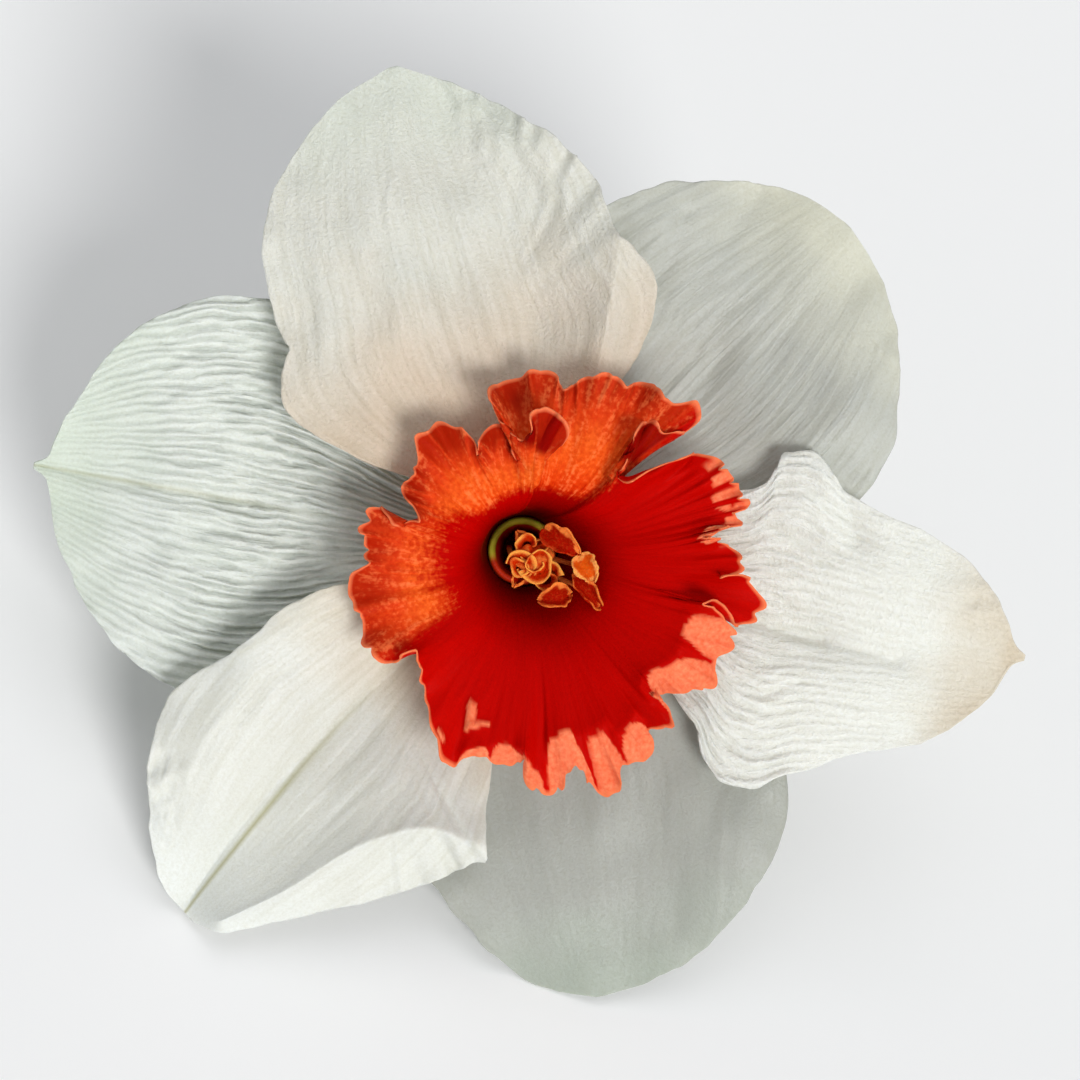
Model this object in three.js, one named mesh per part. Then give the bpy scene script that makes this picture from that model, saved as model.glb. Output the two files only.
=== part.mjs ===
// A narcissus flower, as picked. Six white tepals in two whorls and a frilled red corona stand at the
// mouth of a green tube, with the stamens and the style inside it. Behind them come the ovary, the bent
// neck with its papery spathe, and a short cut stalk. The flower lies face up and leaning: on the ends of
// two tepals, and on the stalk, which runs away along the ground.
// Millimetres, +Z up, origin on the ground under the middle of the whole flower.

import * as THREE from 'three';

// ---------------------------------------------------------------- driving dimensions

// How the bloom lies: its face leans this far from straight up, towards -Y, after it has been turned
// about its own face axis by ROLL, which brings the two lowest tepals to the ground together.
const TILT = 40;
const ROLL = 19;

// Radius at which a tepal leaves the tube, and the thickness of its middle and of its edge.
const TEPAL_BASE = 5;
const TEPAL_THICK = 0.8;
const TEPAL_EDGE_THICK = 0.4;

const CORONA_THICK = 0.7;
const TUBE_LENGTH = 18.6;
const TUBE_TOP = -3.4;
const OVARY_LENGTH = 8.8;
const OVARY_RADIUS = 3.5;
const NECK_RADIUS = 1.3;
const STALK_HALF_WIDTH = 3.2;
const STALK_HALF_HEIGHT = 2.6;
const STALK_BORE = 1.3;
const GAP = 0.3;
const OVARY_END = TUBE_TOP - TUBE_LENGTH - GAP - OVARY_LENGTH;

// The stalk's middle line along the ground, from the neck to the cut, with the flower's heart above the
// origin, and the middle line of the spathe's tongue.
const STALK_PATH = [[1.4, 29.5, 2.6], [3.6, 42, 2.6], [7.4, 58, 2.6], [12.5, 76, 2.6]];
const NECK_STIFFNESS = 4.2;
const SPATHE_PATH = [[1.6, 27.2, 2.8], [3, 24, 3], [5.6, 18.5, 3.6], [9.4, 10, 4.4]];
const SPATHE_WRAP = [105, 48];
const SPATHE_RADIUS = 2.1;
const SPATHE_THICK = 0.4;

// The flower's own frame, used down to the ovary: U to the right, V up the face, W out of the face, with
// the tube's mouth at its origin. The corona leans as it rises, by this much in U and V for each
// millimetre of W.
const LEAN = [0.36, -0.29];

// ---------------------------------------------------------------- tepals

// Each tepal lies along its heading, in degrees round the face. Its edges run from the base to the tip in
// its own frame: x along its midrib, y to the left as the face is seen. A fold is a straight rise or dip
// of the sheet: from x, y to x, y, its half width and its height.
const TEPALS = [
  {
    name: 'tepal_top', front: true, heading: 105, curl: [0.8, 1.0],
    left: [[5, 2], [7.4, 4.5], [11.4, 11], [17, 17.4], [20.5, 19], [25.4, 17.2], [32, 17.5], [38, 16.2],
      [44.5, 11], [48, 5.8], [49.9, 0.5]],
    right: [[5, -2], [7.4, -4.5], [11, -10], [16.4, -16.6], [21.7, -19.6], [27.5, -17.8], [34.6, -16.3],
      [42, -11], [46.5, -6], [49.9, -0.5]],
    folds: [[13, -10.6, 27, -17.3, 4, 3], [26, 4, 48, 1, 6, 1.8], [14, 12, 20, 14, 5, 1.4]],
  },
  {
    name: 'tepal_left', front: false, heading: 170, curl: [0, 0],
    left: [[5, 2], [7.4, 3.2], [12, 9], [19, 16], [26, 19.8], [31.8, 19.7], [37, 17.5], [42.6, 13],
      [46.7, 7.1], [49.4, 0.4]],
    right: [[5, -2], [7.4, -3.2], [12, -9], [18, -15], [24, -19.3], [30, -20.5], [36, -19.6], [42.4, -15],
      [46.5, -8.6], [49.4, -0.4]],
    folds: [[14, 0, 44, 0, 9, -1.4]],
  },
  {
    name: 'tepal_lower_left', front: true, heading: 228, curl: [0.6, 0.6],
    left: [[5, 2], [7.4, 3.6], [12, 8.5], [18.8, 13.2], [24.6, 17.2], [26.9, 17.7], [35, 12.6], [42, 8],
      [47.2, 3.8], [49.4, 0.5]],
    right: [[5, -2], [7.4, -4.2], [12, -9.2], [18.5, -13.2], [26.2, -14.5], [33.5, -16.3], [38.6, -14.6],
      [43.3, -10.6], [47.7, -5.2], [49.4, -0.5]],
    folds: [[26, 17, 46, 5, 2.6, 3.4], [15, -9, 36, -11, 6, 2], [14, -1, 47, 0, 2.4, -1]],
  },
  {
    name: 'tepal_bottom', front: false, heading: 280, curl: [0, 0],
    left: [[5, 2], [7.4, 3.2], [12, 11], [18, 18.5], [24, 22], [30, 21.9], [35.7, 18.9], [41.7, 12.7],
      [45, 6.2], [45.8, 0.5]],
    right: [[5, -2], [7.4, -3.2], [12, -9.5], [18, -15.5], [25, -16.8], [33.5, -13.6], [40, -9.6],
      [43.8, -6], [45.8, -0.5]],
    folds: [[14, 2, 40, 2, 12, -1.2]],
  },
  {
    name: 'tepal_right', front: true, heading: 348, curl: [0.5, 0.8],
    left: [[5, 2], [7.4, 4], [13, 7.4], [19.5, 10], [22.6, 14], [25.6, 15.5], [29, 14], [35, 12],
      [40, 10.6], [45.5, 7.3], [49, 3.3], [50.9, 0.4]],
    right: [[5, -2], [7.4, -4], [13, -7.4], [19.7, -12.6], [23, -17.6], [26, -18.6], [31, -16],
      [36.3, -13.2], [44.7, -9.2], [49.5, -4.4], [50.9, -0.4]],
    folds: [[22, 12, 28, 12, 4.5, 1.2], [19, -2.6, 41, -2.4, 2.4, -1.2], [30.4, 12.6, 32.3, 8, 3, -1.3]],
  },
  {
    name: 'tepal_upper_right', front: false, heading: 45, curl: [0, 0],
    left: [[5, 2], [7.4, 3.2], [12, 9.5], [18, 15.5], [24, 18.6], [30.7, 18.4], [36, 16.2], [41.8, 11],
      [45.8, 5.2], [46.8, 0.4]],
    right: [[5, -2], [7.4, -3.2], [12, -9.5], [18, -16.5], [23, -19.5], [28, -20.3], [33.4, -19.1],
      [37.4, -16.1], [42, -11.6], [45.6, -5.4], [46.8, -0.4]],
    folds: [[14, 0, 40, 0, 10, -1.4], [34, -18, 43, -10, 3, 2.4]],
  },
];

// ---------------------------------------------------------------- corona

// The cup from the tube's mouth to its rim: radius and height.
const CUP = [
  [3.5, -2.9], [3.8, -0.8], [4.8, 1.6], [6.5, 4.1], [9.2, 6.4], [12.5, 7.7], [16.5, 8.6], [20, 9.4],
];

// The frilled rim, round from the right: U, V and W. It rises where the frill folds in.
const RIM = [
  [23, -4, 8.5], [21.3, -2, 10], [20.8, 0, 9.5], [18.6, 1.6, 11], [21.3, 3.5, 9], [21.3, 6.5, 8.5],
  [18.5, 9, 9.5], [15.7, 9.2, 10.5], [12.8, 8.6, 12], [12.3, 10.8, 12], [15.5, 11.6, 9.5], [16.7, 13, 8.5],
  [13.5, 15.8, 9], [10.2, 16, 10.5], [7, 17, 9], [4, 16.3, 10.5], [2, 17.6, 8.5], [-0.5, 17, 8.5],
  [-3, 16, 9], [-2.2, 13, 12], [-3.8, 11.6, 11], [-4.4, 10.2, 12], [-6.5, 12.3, 9], [-9.5, 11.3, 9],
  [-10.4, 8, 9.5], [-11.3, 5.8, 10], [-9.9, 3.6, 12], [-12.5, 3.2, 10], [-14.5, 3.2, 8.5], [-15.2, 1, 9],
  [-14.8, -1, 10.5], [-16, -3.8, 9], [-15.5, -7, 9], [-13.8, -9.8, 9.5], [-12.2, -10.8, 9.5],
  [-10.2, -10, 11], [-9.6, -13.5, 9.5], [-8.5, -17.5, 9], [-6.8, -20.3, 8.5], [-3.8, -19.7, 10],
  [-0.5, -21.3, 8.5], [3, -23.1, 8], [5.5, -21.4, 10], [8, -23.2, 8], [10.5, -20.5, 9.5], [12.8, -18.5, 9],
  [12.3, -16.8, 11], [14.4, -16, 9.5], [13.5, -13.8, 12], [17.5, -13.3, 9], [19.4, -11, 9],
  [20.5, -8.9, 9.5], [20.3, -6.8, 11], [22.6, -6, 9],
];
const CORONA_ROWS = 9;
const FRILL_GROWTH = 2.5;

// ---------------------------------------------------------------- stamens and style

// Where each anther's middle lies, the way its long axis points, and its length. The filaments stand
// evenly round the tube in the same order.
const ANTHERS = [
  { at: [3.9, 1, 5.3], along: [0.8, -0.6, 0.15], length: 3.6 },
  { at: [6.4, -1.6, 5.9], along: [0.45, -0.9, 0.1], length: 2.6 },
  { at: [6.1, -3.9, 5.5], along: [0.62, -0.78, 0.1], length: 3.6 },
  { at: [3.4, -4.5, 5.2], along: [-0.96, -0.2, 0.2], length: 3.2 },
  { at: [-0.4, -2.8, 3.1], along: [-0.3, -0.5, 0.8], length: 3 },
  { at: [-0.6, 1.2, 3.1], along: [-0.4, 0.5, 0.8], length: 3 },
];
const ANTHER_RADIUS = 0.65;
const FILAMENT_RADIUS = 0.28;
const FILAMENT_FOOT_RADIUS = 1.35;
const FILAMENT_FOOT_DEPTH = -11.5;
const FILAMENT_FIRST_ANGLE = 50;
const STYLE_RADIUS = 0.45;
const STIGMA = { at: [1.4, -1, 5.8], radius: 1.7, lobe: 0.16, halfHeight: 0.9 };

// ---------------------------------------------------------------- colours

const WHITE = { color: 0xf1efe4, roughness: 0.6 };
const RED = { color: 0xd6200c, roughness: 0.5 };
const GREEN = { color: 0x7f9a4a, roughness: 0.5 };
const YELLOW = { color: 0xe9a24a, roughness: 0.7 };
const PALE_GREEN = { color: 0xc9cf8a, roughness: 0.5 };
const STRAW = { color: 0xc2a878, roughness: 0.8 };

// ---------------------------------------------------------------- helpers

const radians = THREE.MathUtils.degToRad;
const smooth = THREE.MathUtils.smoothstep;
const lerp = THREE.MathUtils.lerp;

function steps(count) {
  return Array.from({ length: count + 1 }, (_, index) => index / count);
}

function curveThrough(points, closed = false) {
  return new THREE.CatmullRomCurve3(points.map(([x, y, z = 0]) => new THREE.Vector3(x, y, z)), closed);
}

// Distance from a point to the straight line between two others, in the plane.
function distanceToLine(x, y, x0, y0, x1, y1) {
  const length2 = (x1 - x0) ** 2 + (y1 - y0) ** 2;
  const along = THREE.MathUtils.clamp(((x - x0) * (x1 - x0) + (y - y0) * (y1 - y0)) / length2, 0, 1);
  return Math.hypot(x - lerp(x0, x1, along), y - lerp(y0, y1, along));
}

// A closed solid between two sheets of points, given as rows. The sheets are joined along their open
// edges, or round on themselves where each row is a ring.
function sheetSolid(top, bottom, ring) {
  const lastRow = top.length - 1;
  const columns = top[0].length;
  const lastColumn = ring ? columns : columns - 1;
  const points = [...top.flat(), ...bottom.flat()];
  const index = [];
  const upper = (row, column) => row * columns + (column % columns);
  const lower = (row, column) => top.length * columns + upper(row, column);
  const quad = (a, b, c, d) => index.push(a, b, c, a, c, d);
  for (let row = 0; row < lastRow; row += 1) {
    const next = row + 1;
    for (let column = 0; column < lastColumn; column += 1) {
      const beside = column + 1;
      quad(upper(row, column), upper(next, column), upper(next, beside), upper(row, beside));
      quad(lower(row, column), lower(row, beside), lower(next, beside), lower(next, column));
    }
    if (!ring) {
      const end = lastColumn;
      quad(upper(row, 0), lower(row, 0), lower(next, 0), upper(next, 0));
      quad(upper(next, end), lower(next, end), lower(row, end), upper(row, end));
    }
  }
  for (let column = 0; column < lastColumn; column += 1) {
    const beside = column + 1;
    quad(upper(0, beside), lower(0, beside), lower(0, column), upper(0, column));
    quad(upper(lastRow, column), lower(lastRow, column), lower(lastRow, beside), upper(lastRow, beside));
  }
  return facingOut(points, index);
}

// A closed solid skinned over a row of rings, with both ends filled in.
function ringSolid(rings) {
  const sides = rings[0].length;
  const points = rings.flat();
  const index = [];
  for (let ring = 0; ring < rings.length - 1; ring += 1) {
    for (let side = 0; side < sides; side += 1) {
      const here = ring * sides + side;
      const next = ring * sides + ((side + 1) % sides);
      index.push(here, next, next + sides, here, next + sides, here + sides);
    }
  }
  const capped = (ring) => {
    points.push(ring.reduce((sum, point) => sum.add(point), new THREE.Vector3()).divideScalar(sides));
    return points.length - 1;
  };
  const firstMiddle = capped(rings[0]);
  const lastMiddle = capped(rings.at(-1));
  const lastRing = (rings.length - 1) * sides;
  for (let side = 0; side < sides; side += 1) {
    const next = (side + 1) % sides;
    index.push(firstMiddle, next, side);
    index.push(lastMiddle, lastRing + side, lastRing + next);
  }
  return facingOut(points, index);
}

// A geometry whose faces point outwards: they are turned round when its volume comes out negative.
function facingOut(points, index) {
  let volume = 0;
  for (let i = 0; i < index.length; i += 3) {
    const [a, b, c] = [points[index[i]], points[index[i + 1]], points[index[i + 2]]];
    volume += a.dot(b.clone().cross(c));
  }
  const geometry = new THREE.BufferGeometry().setFromPoints(points);
  geometry.setIndex(volume < 0 ? index.reverse() : index);
  geometry.computeVertexNormals();
  return geometry;
}

// The same sheet moved along its own normals, by a distance given for each row and column.
function offsetSheet(sheet, ring, distance) {
  const columns = sheet[0].length;
  const at = (row, column) => {
    const inRow = THREE.MathUtils.clamp(row, 0, sheet.length - 1);
    const inColumn = ring ? (column + columns) % columns : THREE.MathUtils.clamp(column, 0, columns - 1);
    return sheet[inRow][inColumn];
  };
  return sheet.map((line, row) => line.map((point, column) => {
    const along = at(row + 1, column).clone().sub(at(row - 1, column));
    const across = at(row, column + 1).clone().sub(at(row, column - 1));
    const normal = along.cross(across).normalize();
    return point.clone().addScaledVector(normal, distance(row, column));
  }));
}

// A rod of many flat sides along a curve, with flat ends.
function rod(path, radius, sides, stepCount) {
  const corners = steps(sides).slice(1).map((side) => (
    new THREE.Vector2(radius * Math.cos(2 * Math.PI * side), radius * Math.sin(2 * Math.PI * side))
  ));
  return new THREE.ExtrudeGeometry(new THREE.Shape(corners), { steps: stepCount, extrudePath: path });
}

// A lathe about W from radius and height pairs.
function turned(profile, segments) {
  const points = profile.map(([radius, height]) => new THREE.Vector2(radius, height));
  return new THREE.LatheGeometry(points, segments).rotateX(Math.PI / 2);
}

function mesh(name, geometry, look) {
  const made = new THREE.Mesh(geometry, new THREE.MeshStandardMaterial({ metalness: 0, ...look }));
  made.name = name;
  return made;
}

// ---------------------------------------------------------------- tepals

// Height of the face's dish at a radius: the front whorl rides above the back one, and both fall away
// towards their tips.
function dish(radius, front) {
  if (front) {
    return -1.2 + 2.6 * smooth(radius, 4.4, 16) - 1.2 * smooth(radius, 34, 52);
  }
  return -2.2 + 0.5 * smooth(radius, 5, 16) - 1.8 * smooth(radius, 34, 50);
}

function tepalHeight(tepal, x, y, across) {
  const curl = across > 0 ? tepal.curl[0] : tepal.curl[1];
  const folded = tepal.folds.reduce((sum, [x0, y0, x1, y1, width, rise]) => {
    const distance = distanceToLine(x, y, x0, y0, x1, y1);
    return sum + rise * Math.exp(-((distance / width) ** 2));
  }, 0);
  const radius = Math.hypot(x, y);
  return dish(radius, tepal.front) + (curl * across ** 4 + folded) * smooth(radius, 5.5, 12);
}

function buildTepal(tepal) {
  const rows = 16;
  const columns = 12;
  const left = curveThrough(tepal.left);
  const right = curveThrough(tepal.right);
  const tip = tepal.left.at(-1)[0];
  const heading = radians(tepal.heading);
  const sheet = steps(rows).map((along) => {
    const middle = new THREE.Vector3(lerp(TEPAL_BASE, tip, along), 0, 0);
    return steps(columns).map((step) => {
      const across = 2 * step - 1;
      const edge = across > 0 ? left.getPointAt(along) : right.getPointAt(along);
      const point = middle.clone().lerp(edge, Math.abs(across));
      point.z = tepalHeight(tepal, point.x, point.y, across);
      return point.applyAxisAngle(new THREE.Vector3(0, 0, 1), heading);
    });
  });
  const thickness = (row, column) => {
    const across = (2 * column) / columns - 1;
    return lerp(TEPAL_THICK, TEPAL_EDGE_THICK, Math.max(across ** 2, row / rows));
  };
  const under = offsetSheet(sheet, false, (row, column) => -thickness(row, column));
  return mesh(tepal.name, sheetSolid(sheet, under, false), WHITE);
}

// ---------------------------------------------------------------- corona and tube

// Plain cup at a fraction of the way out, and the rim's frill growing over its outer part.
function coronaPoint(cup, turn, out, rimPoint) {
  const round = (fraction) => {
    const { x: radius, y: height } = cup.getPointAt(fraction);
    const angle = turn * 2 * Math.PI;
    const rise = Math.max(height, 0);
    return new THREE.Vector3(
      LEAN[0] * rise + radius * Math.cos(angle),
      LEAN[1] * rise + radius * Math.sin(angle),
      height,
    );
  };
  const frill = rimPoint.clone().sub(round(1));
  return round(out).addScaledVector(frill, out ** FRILL_GROWTH);
}

function buildCorona() {
  const cup = curveThrough(CUP);
  const rim = RIM.map(([u, v, w]) => new THREE.Vector3(u, v, w));
  const inner = steps(CORONA_ROWS).map((out) => rim.map((point, column) => (
    coronaPoint(cup, column / rim.length, out, point)
  )));
  const outer = offsetSheet(inner, true, () => -CORONA_THICK);
  return mesh('corona', sheetSolid(inner, outer, true), RED);
}

function buildTube() {
  const foot = TUBE_TOP - TUBE_LENGTH;
  const profile = [
    [1.7, foot], [2.4, foot], [2.6, -14], [3, -8], [3.7, -5], [6, TUBE_TOP - 0.5], [6, TUBE_TOP],
    [3.1, TUBE_TOP], [3, -1.9], [2.6, -1.7], [2.6, -4], [2.1, -14], [1.7, foot],
  ];
  return mesh('perianth_tube', turned(profile, 28), PALE_GREEN);
}

function buildOvary() {
  const middle = TUBE_TOP - TUBE_LENGTH - GAP - OVARY_LENGTH / 2;
  const profile = steps(10).map((step) => {
    const angle = Math.PI * (step - 0.5);
    return [OVARY_RADIUS * Math.cos(angle) ** 0.7, middle + (OVARY_LENGTH / 2) * Math.sin(angle)];
  });
  profile[0][0] = 0;
  profile[10][0] = 0;
  return mesh('ovary', turned(profile, 24), GREEN);
}

// ---------------------------------------------------------------- stamens and style

function buildAnther(anther, index) {
  const bean = new THREE.SphereGeometry(1, 12, 8);
  bean.scale(ANTHER_RADIUS, ANTHER_RADIUS, anther.length / 2);
  const made = mesh(`anther_${index + 1}`, bean, YELLOW);
  made.position.set(...anther.at);
  const along = new THREE.Vector3(...anther.along).normalize();
  made.quaternion.setFromUnitVectors(new THREE.Vector3(0, 0, 1), along);
  return made;
}

function buildFilament(anther, index) {
  const angle = radians(FILAMENT_FIRST_ANGLE - (360 / ANTHERS.length) * index);
  const foot = [FILAMENT_FOOT_RADIUS * Math.cos(angle), FILAMENT_FOOT_RADIUS * Math.sin(angle)];
  const middle = new THREE.Vector3(...anther.at);
  const under = middle.clone().sub(new THREE.Vector3(0, 0, ANTHER_RADIUS + GAP + 0.6));
  const points = [
    [foot[0], foot[1], FILAMENT_FOOT_DEPTH],
    [foot[0], foot[1], -5],
    [lerp(foot[0], under.x, 0.1), lerp(foot[1], under.y, 0.1), -1.4],
    [lerp(foot[0], under.x, 0.55), lerp(foot[1], under.y, 0.55), lerp(-1.4, under.z, 0.55)],
    [under.x, under.y, under.z],
  ];
  return mesh(`filament_${index + 1}`, rod(curveThrough(points), FILAMENT_RADIUS, 6, 14), PALE_GREEN);
}

function buildStyle() {
  const [u, v, w] = STIGMA.at;
  const points = [[0, 0, TUBE_TOP - TUBE_LENGTH], [0, 0, -8], [0.2, -0.15, -3], [u, v, w - 1.4]];
  return mesh('style', rod(curveThrough(points), STYLE_RADIUS, 8, 16), PALE_GREEN);
}

// Three rounded lobes round the style's end.
function buildStigma() {
  const sides = 18;
  const rings = steps(8).slice(1, -1).map((step) => {
    const angle = Math.PI * (step - 0.5);
    return steps(sides).slice(1).map((side) => {
      const turn = 2 * Math.PI * side;
      const radius = STIGMA.radius * (1 + STIGMA.lobe * Math.cos(3 * turn)) * Math.cos(angle);
      const height = STIGMA.halfHeight * Math.sin(angle);
      return new THREE.Vector3(radius * Math.cos(turn), radius * Math.sin(turn), height);
    });
  });
  const made = mesh('stigma', ringSolid(rings), YELLOW);
  made.position.set(...STIGMA.at);
  return made;
}

// ---------------------------------------------------------------- neck, spathe and stalk

// These are built where they lie on the ground, with the flower's heart straight above the origin.

const STALK = curveThrough(STALK_PATH);

// The neck leaves the ovary along the tube's own line and bends over into the line of the stalk.
function buildNeck(heart) {
  const away = new THREE.Vector3(0, Math.sin(radians(TILT)), -Math.cos(radians(TILT)));
  const start = heart.clone().addScaledVector(away, -(OVARY_END - GAP));
  const onward = STALK.getTangentAt(0);
  const end = STALK.getPointAt(0).addScaledVector(onward, -GAP);
  const path = new THREE.CubicBezierCurve3(
    start,
    start.clone().addScaledVector(away, NECK_STIFFNESS),
    end.clone().addScaledVector(onward, -NECK_STIFFNESS),
    end,
  );
  return mesh('neck', rod(path, NECK_RADIUS, 12, 14), GREEN);
}

// An oval stalk with a hollow in its cut end: rings down its outside and back up its bore.
function buildStalk() {
  const sides = 20;
  const ring = (along, halfWidth, halfHeight) => {
    const middle = STALK.getPointAt(along);
    const forward = STALK.getTangentAt(along);
    const sideways = new THREE.Vector3(forward.y, -forward.x, 0);
    return steps(sides).slice(1).map((side) => {
      const turn = 2 * Math.PI * side;
      return middle.clone().addScaledVector(sideways, halfWidth * Math.cos(turn))
        .add(new THREE.Vector3(0, 0, halfHeight * Math.sin(turn)));
    });
  };
  const shoulder = ring(0, STALK_HALF_WIDTH * 0.7, STALK_HALF_HEIGHT * 0.7);
  const outside = steps(10).map((step) => ring(lerp(0.03, 1, step), STALK_HALF_WIDTH, STALK_HALF_HEIGHT));
  const bore = [1, 0.6, 0.2].map((along) => ring(along, STALK_BORE * 1.3, STALK_BORE));
  return mesh('stalk', ringSolid([shoulder, ...outside, ...bore]), GREEN);
}

// A papery sheath: wrapped round the foot of the neck, then opening into a pointed tongue beside it.
function buildSpathe() {
  const path = curveThrough(SPATHE_PATH);
  const outward = new THREE.Vector3(0.83, 0.55, 0);
  const sheet = steps(12).map((along) => {
    const middle = path.getPointAt(along);
    const half = lerp(SPATHE_WRAP[0], SPATHE_WRAP[1], smooth(along, 0, 0.4));
    const radius = lerp(SPATHE_RADIUS, 0.5, along ** 2) + 1.2 * Math.sin(Math.PI * along);
    return steps(10).map((step) => {
      const turn = radians(half * (2 * step - 1));
      return middle.clone().addScaledVector(outward, radius * Math.cos(turn))
        .add(new THREE.Vector3(0, 0, radius * Math.sin(turn) * 0.8));
    });
  });
  const outer = offsetSheet(sheet, false, () => -SPATHE_THICK);
  return mesh('spathe', sheetSolid(sheet, outer, false), STRAW);
}

// ---------------------------------------------------------------- the whole flower

const bloom = new THREE.Group();
bloom.add(...TEPALS.map(buildTepal));
bloom.add(buildCorona(), buildTube(), buildOvary());
bloom.add(...ANTHERS.map(buildAnther), ...ANTHERS.map(buildFilament));
bloom.add(buildStyle(), buildStigma());

// The turned bloom is let down until its lowest tepals meet the ground.
bloom.rotation.set(radians(TILT), 0, radians(ROLL), 'XYZ');
bloom.updateMatrixWorld(true);
const heart = new THREE.Vector3(0, 0, -new THREE.Box3().setFromObject(bloom, true).min.z);
bloom.position.copy(heart);

const flower = new THREE.Group();
flower.add(bloom, buildNeck(heart), buildStalk(), buildSpathe());
flower.updateMatrixWorld(true);
const middle = new THREE.Box3().setFromObject(flower, true).getCenter(new THREE.Vector3());
flower.position.set(-middle.x, -middle.y, 0);

export default flower;
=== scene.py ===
import logging
import math
from contextlib import contextmanager
from dataclasses import dataclass
from enum import Enum
from typing import Any, Callable, Iterator, Protocol, Sequence

import bpy
import numpy as np
from mathutils import Matrix, Vector


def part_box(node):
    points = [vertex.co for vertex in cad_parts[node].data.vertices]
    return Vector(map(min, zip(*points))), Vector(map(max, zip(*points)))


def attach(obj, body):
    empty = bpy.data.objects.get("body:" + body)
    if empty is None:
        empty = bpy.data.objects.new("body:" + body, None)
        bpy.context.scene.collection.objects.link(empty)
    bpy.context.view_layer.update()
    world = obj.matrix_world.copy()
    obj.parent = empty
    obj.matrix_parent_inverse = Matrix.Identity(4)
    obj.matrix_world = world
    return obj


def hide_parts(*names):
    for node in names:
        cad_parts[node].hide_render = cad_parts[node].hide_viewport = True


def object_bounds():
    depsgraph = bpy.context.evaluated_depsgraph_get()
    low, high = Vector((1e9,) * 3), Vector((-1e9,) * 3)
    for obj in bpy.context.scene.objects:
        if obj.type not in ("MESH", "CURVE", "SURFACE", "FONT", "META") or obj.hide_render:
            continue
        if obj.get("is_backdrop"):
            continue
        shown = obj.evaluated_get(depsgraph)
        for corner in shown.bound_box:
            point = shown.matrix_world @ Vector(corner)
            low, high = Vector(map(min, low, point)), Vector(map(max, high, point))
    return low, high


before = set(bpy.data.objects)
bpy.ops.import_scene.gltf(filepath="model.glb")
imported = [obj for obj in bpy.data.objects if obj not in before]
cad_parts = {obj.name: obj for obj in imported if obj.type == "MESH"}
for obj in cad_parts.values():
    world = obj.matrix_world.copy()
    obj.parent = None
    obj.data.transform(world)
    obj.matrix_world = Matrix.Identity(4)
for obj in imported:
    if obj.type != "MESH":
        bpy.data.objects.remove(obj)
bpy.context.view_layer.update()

log = logging.getLogger("narcissus")

MM = 0.001
# The scale at which a wave texture repeats once in each unit.
WAVE_SCALE = 2 * math.pi / 20
# W of the ovary's middle in the bloom's frame, in millimetres.
OVARY_MIDDLE = -26.7

Pair = tuple[float, float]
Triple = tuple[float, float, float]
Stops = Sequence[tuple[float, Any]]
Array = np.ndarray
Piece = bpy.types.Object
Material = bpy.types.Material
NodeTree = bpy.types.NodeTree
Node = bpy.types.Node
NodeSocket = bpy.types.NodeSocket


# ---------------------------------------------------------------- numbers and shapes


def smoothstep(value: Array, low: float, high: float) -> Array:
    """Rises softly from 0 at low to 1 at high.

    Args:
        value: Where to read the rise.
        low: Where it starts.
        high: Where it ends.

    Returns:
        The height of the rise at each value.
    """
    share = np.clip((np.asarray(value, float) - low) / (high - low), 0, 1)
    return share * share * (3 - 2 * share)


def plateau(value: Array, start: float, end: float, slope: float) -> Array:
    """Is 1 from start to end and 0 outside, with a soft slope at both.

    Args:
        value: Where to read it.
        start: The middle of its rise.
        end: The middle of its fall.
        slope: Half the width of a slope.

    Returns:
        Its height at each value.
    """
    begun = smoothstep(value, start - slope, start + slope)
    return begun * (1 - smoothstep(value, end - slope, end + slope))


def curve_through(points: Sequence[Sequence[float]], count: int, closed: bool = False) -> Array:
    """A smooth curve through points, sampled at even lengths.

    Args:
        points: The points that it passes, in order.
        count: How many samples to take.
        closed: Whether it runs round to its first point again.

    Returns:
        The samples, one row each. A closed curve's first point isn't repeated.
    """
    knots = np.array(points, float)
    if closed:
        run = np.vstack([knots[-1], knots, knots[0], knots[1]])
    else:
        run = np.vstack([2 * knots[0] - knots[1], knots, 2 * knots[-1] - knots[-2]])
    fine = []
    steps_between_points = 24
    share = np.linspace(0, 1, steps_between_points, endpoint=False)[:, None]
    for before, start, end, after in zip(run, run[1:], run[2:], run[3:]):
        stretches = ((before, start), (start, end), (end, after))
        back, own, on = [max(np.linalg.norm(b - a), 1e-6) ** 0.5 for a, b in stretches]
        leave = own * ((start - before) / back - (end - before) / (back + own) + (end - start) / own)
        arrive = own * ((end - start) / own - (after - start) / (own + on) + (after - end) / on)
        bend = (2 * start - 2 * end + leave + arrive) * share**3
        fine.append(bend + (-3 * start + 3 * end - 2 * leave - arrive) * share**2 + leave * share + start)
    line = np.vstack([*fine, knots[0] if closed else knots[-1]])
    length = np.concatenate([[0], np.cumsum(np.linalg.norm(np.diff(line, axis=0), axis=1))])
    wanted = np.linspace(0, length[-1], count, endpoint=not closed)
    return np.stack([np.interp(wanted, length, axis) for axis in line.T], axis=1)


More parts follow.
